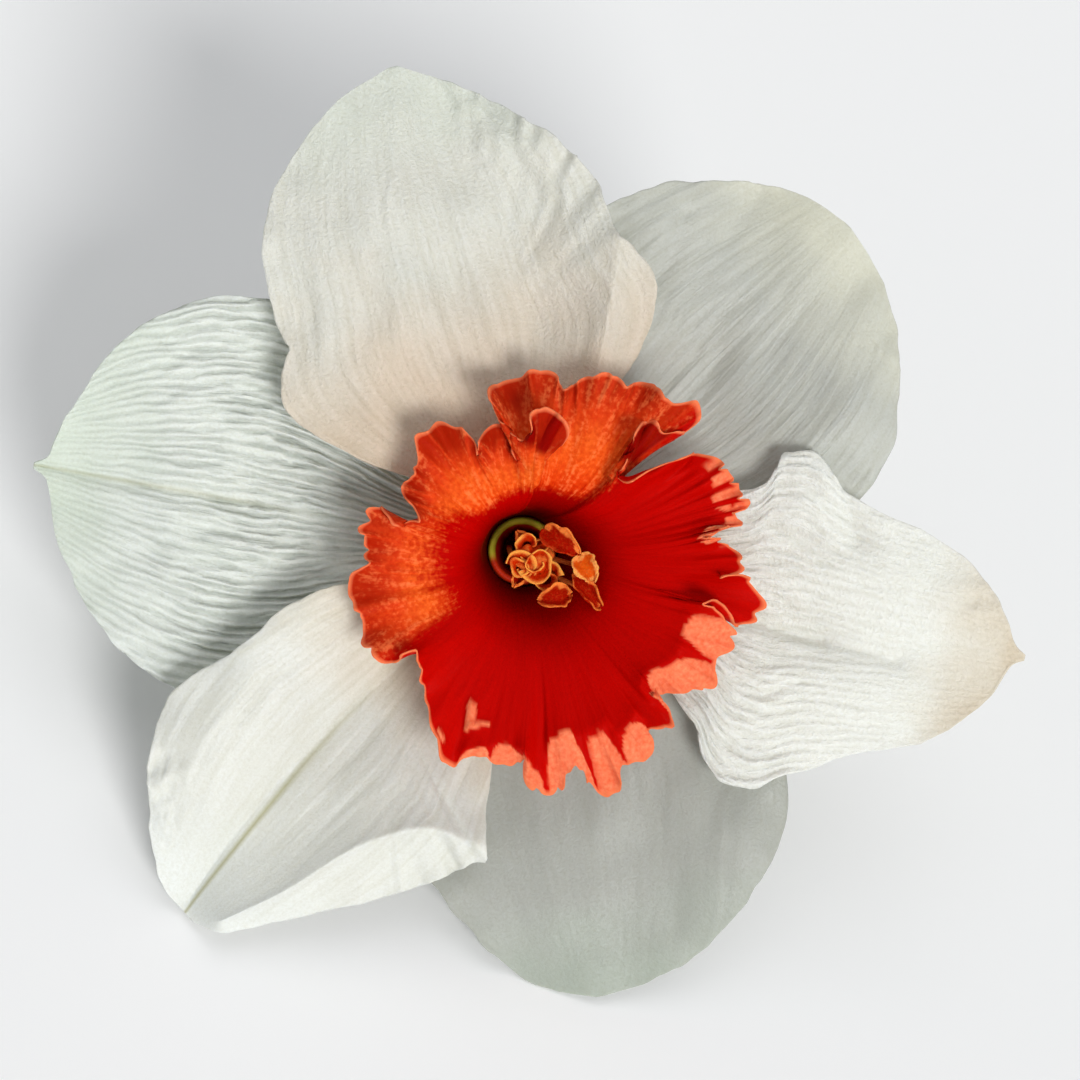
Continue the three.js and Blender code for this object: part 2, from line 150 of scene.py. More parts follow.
def beside_path(x: Array, y: Array, path: Array) -> tuple[Array, Array]:
    """Where points lie beside a line of short straight stretches.

    Args:
        x: The points' first coordinates.
        y: Their second coordinates.
        path: The line's corners.

    Returns:
        Each point's distance from the line, and its side: 1 on the left, -1 on the right, between these
        off the ends.
    """
    nearest, side = np.full(np.shape(x), np.inf), np.zeros(np.shape(x))
    for (x0, y0), (x1, y1) in zip(path, path[1:]):
        dx, dy = x1 - x0, y1 - y0
        along = np.clip(((x - x0) * dx + (y - y0) * dy) / (dx * dx + dy * dy), 0, 1)
        gap = np.hypot(x - x0 - along * dx, y - y0 - along * dy)
        aside = (dx * (y - y0) - dy * (x - x0)) / np.hypot(dx, dy)
        side = np.where(gap < nearest, aside / np.maximum(gap, 1e-9), side)
        nearest = np.minimum(gap, nearest)
    return nearest, side


class Grain:
    """Seeded smooth noise: random heights on a lattice, joined by soft slopes."""

    SIZE = 256

    def __init__(self, seed: int) -> None:
        """Draws the lattice for a seed."""
        self.heights = np.random.default_rng(seed).uniform(-1, 1, (self.SIZE, self.SIZE))

    def at(self, x: Array, y: Array, wrap: int = SIZE) -> Array:
        """Noise from -1 to 1, with a lattice step of 1.

        Args:
            x: First coordinates.
            y: Second coordinates.
            wrap: After how many steps of x it repeats.

        Returns:
            The noise at each point.
        """
        left, low = np.floor(x).astype(int), np.floor(y).astype(int)
        across, up = x - left, y - low
        across = across**3 * (across * (across * 6 - 15) + 10)
        up = up**3 * (up * (up * 6 - 15) + 10)
        a, b = left % wrap % self.SIZE, (left + 1) % wrap % self.SIZE
        c, d = low % self.SIZE, (low + 1) % self.SIZE
        lower = self.heights[a, c] * (1 - across) + self.heights[b, c] * across
        upper = self.heights[a, d] * (1 - across) + self.heights[b, d] * across
        return lower * (1 - up) + upper * up

    def layers(self, x: Array, y: Array, wrap: int = SIZE, count: int = 3) -> Array:
        """Noise of several sizes, each layer half as wide and half as high as the one before.

        Args:
            x: First coordinates.
            y: Second coordinates.
            wrap: After how many steps of x the first layer repeats.
            count: How many layers to add.

        Returns:
            The noise at each point.
        """
        return sum(self.at(x * 2**n, y * 2**n + 17 * n, wrap * 2**n) / 2**n for n in range(count))


def read_points(piece: Piece) -> Array:
    """A mesh's vertices, one row each.

    Args:
        piece: The mesh.

    Returns:
        Their places in metres.
    """
    found = np.empty(len(piece.data.vertices) * 3)
    piece.data.vertices.foreach_get("co", found)
    return found.reshape(-1, 3)


def write_points(piece: Piece, points: Array) -> None:
    """Moves a mesh's vertices to these points, in metres."""
    piece.data.vertices.foreach_set("co", np.ascontiguousarray(points, float).ravel())
    piece.data.update()


def write_attribute(piece: Piece, name: str, values: Array) -> None:
    """Gives each vertex of a mesh a number that its material can read."""
    layer = piece.data.attributes.new(name, "FLOAT", "POINT")
    layer.data.foreach_set("value", np.ascontiguousarray(values, np.float32).ravel())


def read_attribute(piece: Piece, name: str) -> Array:
    """The number that each vertex of a mesh has under this name.

    Args:
        piece: The mesh.
        name: The attribute's name.

    Returns:
        The numbers, in the order of the vertices.
    """
    found = np.empty(len(piece.data.vertices), np.float32)
    piece.data.attributes[name].data.foreach_get("value", found)
    return found.astype(float)


def write_uv(piece: Piece, u: Array, v: Array) -> None:
    """Sets a mesh's UV map from two numbers for each vertex.

    Args:
        piece: The mesh.
        u: The first number.
        v: The second.
    """
    corners = np.empty(len(piece.data.loops), int)
    piece.data.loops.foreach_get("vertex_index", corners)
    pairs = np.stack([u[corners], v[corners]], axis=1)
    piece.data.uv_layers.active.data.foreach_set("uv", np.ascontiguousarray(pairs, np.float32).ravel())


def new_sheet(name: str, along: int, across: int) -> tuple[Piece, Array, Array]:
    """Adds a flat sheet of quads, whose UV map runs from 0 to 1 each way.

    Args:
        name: The piece's name.
        along: Quads along it.
        across: Quads across it.

    Returns:
        The new mesh object, and where each vertex lies: along it from 0 to 1, and across it from -1 to 1.
    """
    bpy.ops.object.select_all(action="DESELECT")
    bpy.ops.mesh.primitive_grid_add(x_subdivisions=along, y_subdivisions=across, size=2)
    sheet = bpy.context.object
    sheet.name = sheet.data.name = name
    flat = read_points(sheet)
    return sheet, (flat[:, 0] + 1) / 2, flat[:, 1]


def alone(piece: Piece) -> None:
    """Selects a piece and nothing else, and makes it active.

    Args:
        piece: The piece.
    """
    bpy.ops.object.select_all(action="DESELECT")
    piece.select_set(True)
    bpy.context.view_layer.objects.active = piece


@contextmanager
def editing(piece: Piece) -> Iterator[None]:
    """Opens a piece in edit mode with all of it selected, and closes it again.

    Args:
        piece: The mesh to edit.

    Yields:
        Nothing, while the mesh is open.
    """
    alone(piece)
    bpy.ops.object.mode_set(mode="EDIT")
    bpy.ops.mesh.select_all(action="SELECT")
    yield
    bpy.ops.object.mode_set(mode="OBJECT")


def apply_modifier(piece: Piece, kind: str, **settings: Any) -> None:
    """Adds a modifier to a piece and applies it.

    Args:
        piece: The piece to change.
        kind: The modifier's type.
        **settings: Its settings by name.
    """
    alone(piece)
    modifier = piece.modifiers.new(kind.title(), kind)
    for key, value in settings.items():
        setattr(modifier, key, value)
    bpy.ops.object.modifier_apply(modifier=modifier.name)


def thicken(piece: Piece, thickness: float, share: Array, thinnest: float) -> None:
    """Gives a sheet its thickness, away from its front.

    Args:
        piece: The sheet.
        thickness: Full thickness, in millimetres.
        share: How full the thickness is at each vertex, from 0 to 1.
        thinnest: The share that is left where share is 0.
    """
    group = piece.vertex_groups.new(name="fullness")
    for step in np.unique(np.round(share, 2)):
        members = np.flatnonzero(np.round(share, 2) == step)
        group.add([int(i) for i in members], float(step), "REPLACE")
    apply_modifier(
        piece, "SOLIDIFY", thickness=thickness * MM, offset=-1, use_rim=True,
        vertex_group=group.name, thickness_vertex_group=thinnest, use_quality_normals=True,
    )
    piece.vertex_groups.clear()


def merge_seams(piece: Piece) -> None:
    """Joins vertices of a piece that lie on each other."""
    with editing(piece):
        bpy.ops.mesh.remove_doubles(threshold=1e-6)


def face_outwards(piece: Piece) -> None:
    """Turns a closed piece's faces outwards."""
    with editing(piece):
        bpy.ops.mesh.normals_make_consistent(inside=False)


def hand_in(piece: Piece, finish: "Finish", slot: str, *nodes: str) -> Piece:
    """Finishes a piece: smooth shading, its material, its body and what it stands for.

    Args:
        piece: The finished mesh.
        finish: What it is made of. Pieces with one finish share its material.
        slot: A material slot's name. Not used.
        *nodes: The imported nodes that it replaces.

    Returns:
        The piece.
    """
    alone(piece)
    bpy.ops.object.shade_smooth()
    material = bpy.data.materials.get(finish.name) or finish.material()
    piece.data.materials.clear()
    piece.data.materials.append(material)
    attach(piece, "root")
    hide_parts(*nodes)
    return piece


# ---------------------------------------------------------------- where the flower lies


@dataclass(frozen=True)
class Lie:
    """How the picked flower lies, tilted and rolled by degrees. The bloom has a frame of its own, in
    millimetres: U to the right, V up the face and W out of it, with the mouth of the tube at its origin,
    the heart of the flower."""

    tilt: float = 40
    roll: float = 19

    def turn(self) -> Array:
        """The bloom's U, V and W directions, one column each.

        Returns:
            A rotation matrix.
        """
        tilt, roll = math.radians(self.tilt), math.radians(self.roll)
        about_x = np.array([
            [1, 0, 0],
            [0, math.cos(tilt), -math.sin(tilt)],
            [0, math.sin(tilt), math.cos(tilt)],
        ])
        about_w = np.array([
            [math.cos(roll), -math.sin(roll), 0],
            [math.sin(roll), math.cos(roll), 0],
            [0, 0, 1],
        ])
        return about_x @ about_w

    def heart(self) -> Array:
        """Where the heart lies, in millimetres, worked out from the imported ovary."""
        low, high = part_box("ovary")
        return np.array((low + high) / 2) / MM - self.turn()[:, 2] * OVARY_MIDDLE

    def of_bloom(self, points: Array) -> Array:
        """Points of the bloom's frame, in metres where they lie."""
        return (np.asarray(points, float) @ self.turn().T + self.heart()) * MM

    def to_bloom(self, points: Array) -> Array:
        """Points in metres where they lie, in the bloom's frame."""
        return (np.asarray(points, float) / MM - self.heart()) @ self.turn()

    def on_ground(self, points: Array) -> Array:
        """Points given with the heart straight above the origin, in metres where they lie."""
        return (np.asarray(points, float) + self.heart() * [1, 1, 0]) * MM


LIE = Lie()


# ---------------------------------------------------------------- finishes


def linear(colour: str) -> tuple[float, float, float, float]:
    """A colour such as "#f0a080" as linear red, green, blue and alpha."""
    parts = [int(colour[i:i + 2], 16) / 255 for i in (1, 3, 5)]
    return (*[c / 12.92 if c <= 0.04045 else ((c + 0.055) / 1.055) ** 2.4 for c in parts], 1.0)


def add_node(
    tree: NodeTree,
    kind: str,
    inputs: dict[str | int, Any] | None = None,
    stops: Stops = (),
    **settings: Any,
) -> Node:
    """Adds a shader node with its settings, its values and its links.

    Args:
        tree: The material's node tree.
        kind: The node's type, without "ShaderNode".
        inputs: For each input, by name or number, a value, a socket to link from, or a node, which gives
            its first output.
        stops: The colours or values of a ramp, with their places from 0 to 1.
        **settings: The node's own settings.

    Returns:
        The new node.
    """
    node = tree.nodes.new("ShaderNode" + kind)
    for key, value in settings.items():
        setattr(node, key, value)
    for key, value in (inputs or {}).items():
        if isinstance(value, Node):
            value = value.outputs[0]
        if isinstance(value, NodeSocket):
            tree.links.new(value, node.inputs[key])
        else:
            node.inputs[key].default_value = value
    if stops:
        elements = node.color_ramp.elements
        while len(elements) < len(stops):
            elements.new(0.5)
        for element, (place, colour) in zip(elements, stops):
            element.position = place
            element.color = linear(colour) if isinstance(colour, str) else (colour, colour, colour, 1.0)
    return node


def new_material(name: str) -> tuple[Material, NodeTree, NodeSocket, NodeSocket]:
    """A new material that holds nothing but its coordinates.

    Args:
        name: The material's name.

    Returns:
        The material, its node tree, and the sockets that give places in the UV map and in space.
    """
    material = bpy.data.materials.new(name)
    material.use_nodes = True
    tree = material.node_tree
    tree.nodes.clear()
    coordinates = add_node(tree, "TexCoord").outputs
    return material, tree, coordinates["UV"], coordinates["Object"]


def finish_shader(
    tree: NodeTree, reliefs: Sequence[tuple[Node, float, Any]], surface: dict[str, Any],
) -> None:
    """Adds the reliefs, the one Principled shader and the output to a material.

    Args:
        tree: The material's node tree.
        reliefs: Each relief's pattern, depth in millimetres and strength, the broadest first.
        surface: The shader's values and links by input name.
    """
    normal = {}
    for pattern, depth, strength in reliefs:
        bump = {"Height": pattern, "Distance": depth * MM, "Strength": strength, **normal}
        normal = {"Normal": add_node(tree, "Bump", bump)}
    shader = add_node(tree, "BsdfPrincipled", {**surface, **normal})
    add_node(tree, "OutputMaterial", {"Surface": shader})


def round_pattern(
    tree: NodeTree, turn: NodeSocket, along: NodeSocket, count: float, length: float,
) -> Node:
    """Coordinates for a pattern that closes on itself round a piece.

    Args:
        tree: The material's node tree.
        turn: The socket that goes from 0 to 1 round the piece.
        along: The socket that goes from 0 to 1 along it.
        count: How many lattice steps there are round it.
        length: How many there are along it.

    Returns:
        The node that gives the coordinates.
    """
    angle = add_node(tree, "Math", {0: turn, 1: 2 * math.pi}, operation="MULTIPLY")
    cosine = add_node(tree, "Math", {0: angle}, operation="COSINE")
    sine = add_node(tree, "Math", {0: angle}, operation="SINE")
    place = add_node(tree, "CombineXYZ", {0: cosine, 1: sine, 2: along})
    scale = count / (2 * math.pi)
    return add_node(tree, "Mapping", {"Vector": place, "Scale": (scale, scale, length)})


class Finish(Protocol):
    """What a piece can be made of."""

    name: str

    def material(self) -> Material:
        """Builds its material."""


@dataclass(frozen=True)
class PetalTissue:
    """Living petal: water-filled cells with air between them, so it is white from inside, lets light
    through, and has a fine sparkle from its cells and soft veins that run from base to tip.

    Attributes:
        name: The material's name.
        base: Colour at the foot of the petal.
        face: Colour of its middle.
        tip: Colour of its end.
        blush: How far up the petal the foot's colour has faded out, from 0 to 1.
        vein_depth: Relief of the veins, in millimetres.
        vein_reach: How far up the petal the veins stay strong, from 0 to 1.
        vein_scale: Lattice steps of the veins along the petal and across it.
        groove_tint_and_shade: Colour in the grooves between veins: a greyer tissue, and where it is dark
            also painted shade.
        ribs: How many ribs there are in a petal's length across it, or 0 for none.
        rib_share: How much of the relief is ribs, where they are weak and where they are strong.
        midrib: Strength of the midrib's own colour.
        midrib_place: Where the midrib runs in the UV map.
        midrib_width: Half the width of its colour there.
        midrib_shade: Its colour.
        patch: Size of the soft patches, in millimetres.
        sparkle: Relief of the cells, in millimetres.
        cell: Size of the cells, drawn about ten times too coarse so that they show, in millimetres.
    """

    name: str
    base: str
    face: str
    tip: str
    blush: float = 0.3
    vein_depth: float = 0.1
    vein_reach: float = 0.8
    vein_scale: Pair = (5, 62)
    groove_tint_and_shade: str = "#f5f4f0"
    ribs: float = 0.0
    rib_share: Pair = (0.15, 0.65)
    midrib: float = 0.0
    midrib_place: float = 0.5
    midrib_width: float = 0.011
    midrib_shade: str = "#a9a67c"
    patch: float = 9
    sparkle: float = 0.09
    cell: float = 0.3

    def material(self) -> Material:
        """Builds the petal material. The piece's UV map holds lengths: along it, and across its veins.

        Returns:
            The new material.
        """
        material, tree, uv, place = new_material(self.name)
        split = add_node(tree, "SeparateXYZ", {0: uv})
        stretched = add_node(tree, "Mapping", {"Vector": uv, "Scale": (*self.vein_scale, 1)})
        veins = add_node(
            tree, "TexNoise", {"Vector": stretched, "Scale": 1, "Detail": 3, "Distortion": 0.4},
        )
        cells = add_node(
            tree, "TexNoise",
            {"Vector": place, "Scale": 1 / (self.cell * MM), "Detail": 2, "Roughness": 0.7},
        )
        patches = add_node(tree, "TexNoise", {"Vector": place, "Scale": 1 / (self.patch * MM), "Detail": 2})
        if self.ribs:
            weakest, strongest = self.rib_share
            longer = add_node(tree, "Mapping", {"Vector": uv, "Scale": (0.45, 1, 1)})
            bands = add_node(
                tree, "TexWave",
                {"Vector": longer, "Scale": self.ribs * WAVE_SCALE, "Distortion": 9, "Detail": 4,
                 "Detail Scale": 0.8},
                bands_direction="Y",
            )
            strong = add_node(tree, "MapRange", {0: patches, 1: 0.35, 2: 0.6, 3: weakest, 4: strongest})
            veins = add_node(tree, "Mix", {0: strong, 2: veins, 3: bands.outputs["Fac"]}, data_type="FLOAT")
        waver = add_node(tree, "Math", {0: patches, 1: 0.3, 2: -0.15}, operation="MULTIPLY_ADD")
        along = add_node(tree, "Math", {0: split.outputs["X"], 1: waver}, operation="ADD")
        colour = add_node(
            tree, "ValToRGB", {"Fac": along},
            stops=[(0.05, self.base), (self.blush, self.face), (0.75, self.face), (0.98, self.tip)],
        )
        fade = add_node(
            tree, "MapRange", {0: along, 1: self.vein_reach - 0.2, 2: self.vein_reach + 0.2, 3: 1, 4: 0.2},
        )
        # The grooves take the groove colour: a greyer tissue, and on the ribbed tepals painted shade as
        # well.
        vein_tone = add_node(
            tree, "ValToRGB", {"Fac": veins},
            stops=[(0.1 if self.ribs else 0.32, self.groove_tint_and_shade), (0.6, "#ffffff")],
        )
        veined = add_node(tree, "MixRGB", {"Fac": fade, 1: colour, 2: vein_tone}, blend_type="MULTIPLY")
        if self.midrib:
            beside = add_node(
                tree, "Math", {0: split.outputs["Y"], 1: self.midrib_place}, operation="SUBTRACT",
            )
            gap = add_node(tree, "Math", {0: beside}, operation="ABSOLUTE")
            near = add_node(tree, "MapRange", {0: gap, 2: self.midrib_width, 3: self.midrib, 4: 0})
            outer = add_node(tree, "MapRange", {0: along, 1: 0.35, 2: 0.7})
            share = add_node(tree, "Math", {0: near, 1: outer}, operation="MULTIPLY")
            veined = add_node(tree, "MixRGB", {"Fac": share, 1: veined, 2: linear(self.midrib_shade)})
        cell_tone = add_node(tree, "ValToRGB", {"Fac": cells}, stops=[(0.32, "#f7f6f3"), (0.62, "#ffffff")])
        celled = add_node(tree, "MixRGB", {"Fac": 1.0, 1: veined, 2: cell_tone}, blend_type="MULTIPLY")
        gloss = add_node(tree, "MapRange", {0: cells, 1: 0.3, 2: 0.7, 3: 0.6, 4: 0.36})
        finish_shader(tree, [(veins, self.vein_depth, fade), (cells, self.sparkle, 0.6)], {
            "Base Color": celled,
            "Roughness": gloss,
            "IOR": 1.4,
            "Specular IOR Level": 0.4,
            "Subsurface Weight": 0.3,
            "Subsurface Radius": (1.0, 0.95, 0.8),
            "Subsurface Scale": 1.0 * MM,
        })
        return material


@dataclass(frozen=True)
class CoronaTissue:
    """The corona's thicker petal tissue, full of red and orange pigment, with radial veins and a thin pale
    edge. Light and shade are painted into its colour: a deep red painted shade, darkest in the throat, where
    light would come through it; orange painted light where light falls on it; paler painted highlights on
    the flared stretches and curls; darker painted shade in the creases and pockets. Its two ramps run from
    the throat to the rim, and its specks' size is in millimetres."""

    name: str = "red_petal_tissue"
    vein_count: float = 210
    speck: float = 0.45
    # Painted shade: the deep red of the inside in shade, darkest in the throat.
    shaded_reds: Stops = (
        (0.0, "#460401"), (0.12, "#6e0300"), (0.28, "#960200"), (0.5, "#b80200"), (0.97, "#c00500"),
    )
    # Painted light: the orange of the inside where light falls, with the same dark throat as painted shade.
    lit_oranges: Stops = (
        (0.0, "#460401"), (0.12, "#6e0300"), (0.3, "#b81202"), (0.42, "#e43a06"), (0.5, "#ee4a0e"),
        (0.6, "#f4601a"), (0.7, "#f46620"), (0.82, "#e64c1a"), (0.94, "#cc3a16"),
    )
    # Painted highlight: the paler salmon of the flared stretches and curls.
    flare_highlight_pinks: Stops = ((0.3, "#f26c46"), (0.68, "#fb8c62"))
    fleck: str = "#fb8c50"
    pocket_shade_red: str = "#8e0601"
    crease_shade_red: str = "#b02006"
    edge: str = "#f27c50"

    def material(self) -> Material:
        """Builds the corona's material, on its UV map (round, out) and its attributes.

        Returns:
            The new material.
        """
        material, tree, uv, place = new_material(self.name)
        split = add_node(tree, "SeparateXYZ", {0: uv})
        # Orange painted light on the side where light falls.
        painted_light = add_node(tree, "Attribute", attribute_name="painted_light")
        flare = add_node(tree, "Attribute", attribute_name="flare")
        pocket = add_node(tree, "Attribute", attribute_name="pocket")
        radial = round_pattern(tree, split.outputs["X"], split.outputs["Y"], self.vein_count, 5)
        veins = add_node(tree, "TexNoise", {"Vector": radial, "Scale": 1, "Detail": 3, "Roughness": 0.6})
        specks = add_node(tree, "TexNoise", {"Vector": place, "Scale": 1 / (self.speck * MM), "Detail": 3})
        # Painted shade: the deep red ramp, darkest in the throat.
        shaded = add_node(tree, "ValToRGB", {"Fac": split.outputs["Y"]}, stops=self.shaded_reds)
        uneven = add_node(tree, "Math", {0: veins, 1: 0.16, 2: -0.08}, operation="MULTIPLY_ADD")
        outward = add_node(tree, "Math", {0: split.outputs["Y"], 1: uneven}, operation="ADD")
        # Painted light: the orange ramp.
        bright = add_node(tree, "ValToRGB", {"Fac": outward}, stops=self.lit_oranges)
        spotted = add_node(tree, "ValToRGB", {"Fac": specks}, stops=[(0.35, "#e8b0a0"), (0.6, "#ffffff")])
        mottled = add_node(tree, "MixRGB", {"Fac": 0.7, 1: bright, 2: spotted}, blend_type="MULTIPLY")
        spots = add_node(tree, "Math", {0: specks, 1: 0.8, 2: veins}, operation="MULTIPLY_ADD")
        flecks = add_node(tree, "MapRange", {0: spots, 1: 0.92, 2: 1.15, 4: 0.45})
        flecked = add_node(tree, "MixRGB", {"Fac": flecks, 1: mottled, 2: linear(self.fleck)})
        # Where the orange painted light replaces the red painted shade, broken up by specks and veins.
        streaked = add_node(
            tree, "Math", {0: veins, 1: 0.5, 2: painted_light.outputs["Fac"]}, operation="MULTIPLY_ADD",
        )
        patched = add_node(tree, "Math", {0: specks, 1: 0.5, 2: streaked}, operation="MULTIPLY_ADD")
        orange = add_node(tree, "MapRange", {0: patched, 1: 0.75, 2: 1.25})
        body = add_node(tree, "MixRGB", {"Fac": orange, 1: shaded, 2: flecked})
        # Painted shade: darker red inside the rim's pockets.
        folded = add_node(
            tree, "MixRGB", {"Fac": pocket.outputs["Fac"], 1: body, 2: linear(self.pocket_shade_red)},
        )
        # Painted highlight on the flared stretches and curls.
        flare_highlight = add_node(tree, "ValToRGB", {"Fac": specks}, stops=self.flare_highlight_pinks)
        flared = add_node(tree, "MixRGB", {"Fac": flare.outputs["Fac"], 1: folded, 2: flare_highlight})
        vein_tone = add_node(tree, "ValToRGB", {"Fac": veins}, stops=[(0.3, "#d2a8a0"), (0.62, "#ffffff")])
        veined = add_node(tree, "MixRGB", {"Fac": 0.3, 1: flared, 2: vein_tone}, blend_type="MULTIPLY")
        # Painted shade: darker red streaks in the creases on the lit side.
        crease = add_node(tree, "Attribute", attribute_name="crease")
        streaks = add_node(tree, "MapRange", {0: veins, 1: 0.4, 2: 0.62, 3: 1, 4: 0.3})
        sunk = add_node(tree, "Math", {0: crease.outputs["Fac"], 1: streaks}, operation="MULTIPLY")
        crease_shade = add_node(tree, "MixRGB", {"Fac": sunk, 1: veined, 2: linear(self.crease_shade_red)})
        edge = add_node(tree, "MapRange", {0: split.outputs["Y"], 1: 0.982, 2: 0.996})
        edged = add_node(tree, "MixRGB", {"Fac": edge, 1: crease_shade, 2: linear(self.edge)})
        finish_shader(tree, [(veins, 0.1, 0.5), (specks, 0.1, 0.5)], {
            "Base Color": edged,
            "Roughness": 0.5,
            "IOR": 1.4,
            "Specular IOR Level": 0.03,
            "Subsurface Weight": 0.2,
            "Subsurface Radius": (1.0, 0.2, 0.08),
            "Subsurface Scale": 0.7 * MM,
        })
        return material


@dataclass(frozen=True)
class GreenSkin:
    """Smooth waxy plant skin over green flesh: satin, a little see-through, with fine lines along it."""

    name: str
    shade: str
    light: str
    line_spacing: float = 0.35

    def material(self) -> Material:
        """Builds the skin, with its lines along the piece's UV map.

        Returns:
            The new material.
        """
        material, tree, uv, place = new_material(self.name)
        stretched = add_node(tree, "Mapping", {"Vector": uv, "Scale": (1.2, 18 / self.line_spacing, 1)})
        lines = add_node(tree, "TexNoise", {"Vector": stretched, "Scale": 1, "Detail": 2})
        patches = add_node(tree, "TexNoise", {"Vector": place, "Scale": 1 / (3 * MM), "Detail": 3})
        both = add_node(tree, "Math", {0: patches, 1: 0.35, 2: lines}, operation="MULTIPLY_ADD")
        colour = add_node(tree, "ValToRGB", {"Fac": both}, stops=[(0.42, self.shade), (0.92, self.light)])
        finish_shader(tree, [(lines, 0.1, 0.6)], {
            "Base Color": colour,
            "Roughness": 0.42,
            "IOR": 1.42,
            "Subsurface Weight": 0.2,
            "Subsurface Radius": (0.5, 1.0, 0.3),
            "Subsurface Scale": 1.0 * MM,
            "Coat Weight": 0.08,
            "Coat Roughness": 0.35,
        })
        return material


@dataclass(frozen=True)
class RidgedTissue:
    """Small fleshy organ with raised, paler edges, such as an open anther or a stigma lobe."""

    name: str
    hollow: str
    edge: str

    def material(self) -> Material:
        """Builds the tissue, whose edge colour follows the piece's ridge attribute.

        Returns:
            The new material.
        """
        material, tree, _, place = new_material(self.name)
        ridge = add_node(tree, "Attribute", attribute_name="ridge")
        grains = add_node(tree, "TexNoise", {"Vector": place, "Scale": 1 / (0.25 * MM), "Detail": 3})
        raised = add_node(
            tree, "Math", {0: grains, 1: 0.4, 2: ridge.outputs["Fac"]}, operation="MULTIPLY_ADD",
        )
        colour = add_node(tree, "ValToRGB", {"Fac": raised}, stops=[(0.2, self.hollow), (1.0, self.edge)])
        finish_shader(tree, [(grains, 0.2, 0.7)], {
            "Base Color": colour,
            "Roughness": 0.6,
            "IOR": 1.4,
            "Specular IOR Level": 0.03,
            "Subsurface Weight": 0.2,
            "Subsurface Radius": (1.0, 0.25, 0.08),
            "Subsurface Scale": 0.5 * MM,
        })
        return material


@dataclass(frozen=True)
class PaperySheath:
    """The dried sheath of the bud: thin brown paper of dead tissue with close straight veins."""

    name: str = "dry_papery_sheath"

    def material(self) -> Material:
        """Builds the sheath's material, with its veins along the UV map.

        Returns:
            The new material.
        """
        material, tree, uv, place = new_material(self.name)
        stretched = add_node(tree, "Mapping", {"Vector": uv, "Scale": (3, 34, 1)})
        veins = add_node(tree, "TexNoise", {"Vector": stretched, "Scale": 1, "Detail": 3})
        patches = add_node(tree, "TexNoise", {"Vector": place, "Scale": 1 / (2.5 * MM), "Detail": 4})
        both = add_node(tree, "Math", {0: veins, 1: 0.8, 2: patches}, operation="MULTIPLY_ADD")
        colour = add_node(
            tree, "ValToRGB", {"Fac": both},
            stops=[(0.55, "#7a5c36"), (0.85, "#b4925e"), (0.958333, "#dcc69a")],
        )
        finish_shader(tree, [(veins, 0.2, 0.8)], {
            "Base Color": colour,
            "Roughness": 0.6,
            "IOR": 1.45,
            "Subsurface Weight": 0.15,
            "Subsurface Radius": (1.0, 0.7, 0.4),
            "Subsurface Scale": 0.5 * MM,
        })
        return material


# ---------------------------------------------------------------- tepals


class Whorl(Enum):
    """The two rings of three tepals. Each holds the shape of its shallow dish, in millimetres: W of the
    dish's floor, its drop into the tube, its rise, the radius where that starts, its fall, and the radius
    where that ends."""

    FRONT = (-1.2, 1.7, 2.6, 4.4, 1.2, 52)
    BACK = (-2.2, 0.8, 0.5, 5, 1.8, 50)

    def dish(self, radius: Array) -> Array:
        """Height of the ring's shallow dish.

        Args:
            radius: Distance from the flower's axis.

        Returns:
            W in the bloom's frame.
        """
        floor, drop, rise, rise_start, fall, fall_end = self.value
        sunk = floor - drop * smoothstep(-radius, -5.6, -3.6)
        return sunk + rise * smoothstep(radius, rise_start, 16) - fall * smoothstep(radius, 34, fall_end)


@dataclass(frozen=True)
class Fold:
    """A rise or dip along a line of a tepal, in the tepal's own frame.

    Attributes:
        path: Points of the line.
        rise: Height of the crest, below 0 for a valley.
        left: How far it spreads to the line's left.
        right: How far it spreads to its right.
        sharp: Whether its crest is an edge and not round.
    """

    path: Sequence[Pair]
    rise: float
    left: float
    right: float
    sharp: bool = False

    def height(self, x: Array, y: Array) -> Array:
        """How much the fold lifts each point.

        Args:
            x: Distance along the midrib.
            y: Distance to its left.

        Returns:
            The lift, in millimetres.
        """
        gap, side = beside_path(x, y, curve_through(self.path, 24))
        share = gap / (self.right + (self.left - self.right) * (side + 1) / 2)
        return self.rise * np.exp(-1.2 * share if self.sharp else -share**2)


@dataclass(frozen=True)
class Crumple:
    """A patch of small irregular creases round a point of a tepal: its place, its radius, the creases'
    height and the usual width of one."""

    x: float
    y: float
    radius: float
    rise: float
    crease: float = 1.6

    def height(self, x: Array, y: Array, grain: Grain) -> Array:
        """How much the creases lift each point.

        Args:
            x: Distance along the midrib.
            y: Distance to its left.
            grain: The tepal's noise.

        Returns:
            The lift, in millimetres.
        """
        near = np.exp(-((x - self.x) ** 2 + (y - self.y) ** 2) / self.radius**2)
        return self.rise * near * grain.layers(x / self.crease + 40, y / self.crease + 40)


@dataclass(frozen=True)
class Gather:
    """Short creases that run in from a stretch of the margin, where the edge has grown longer than the
    face. They point to a middle on the midrib.

    Attributes:
        start: Direction from the middle where they start, in degrees.
        end: Direction where they end.
        every: Degrees from one crease to the next.
        rise: Their height, in millimetres.
        reach: How fast they fade inwards; higher is faster.
        middle: Where the middle is on the midrib.
        soft: Half the width of the slope at both ends, in degrees.
    """

    start: float
    end: float
    every: float
    rise: float
    reach: float = 7
    middle: float = 20
    soft: float = 3

    def height(self, x: Array, y: Array, across: Array, grain: Grain) -> Array:
        """How much the creases lift each point.

        Args:
            x: Distance along the midrib.
            y: Distance to its left.
            across: From -1 at the right edge to 1 at the left edge.
            grain: The tepal's noise.

        Returns:
            The lift, in millimetres.
        """
        turn = np.degrees(np.arctan2(y, x - self.middle))
        within = plateau(turn, self.start + self.soft, self.end - self.soft, self.soft)
        creases = 0.5 - 2 * np.hypot(grain.at(turn / self.every + 90, np.abs(across) * 2), 0.12)
        return self.rise * within * np.abs(across) ** self.reach * creases


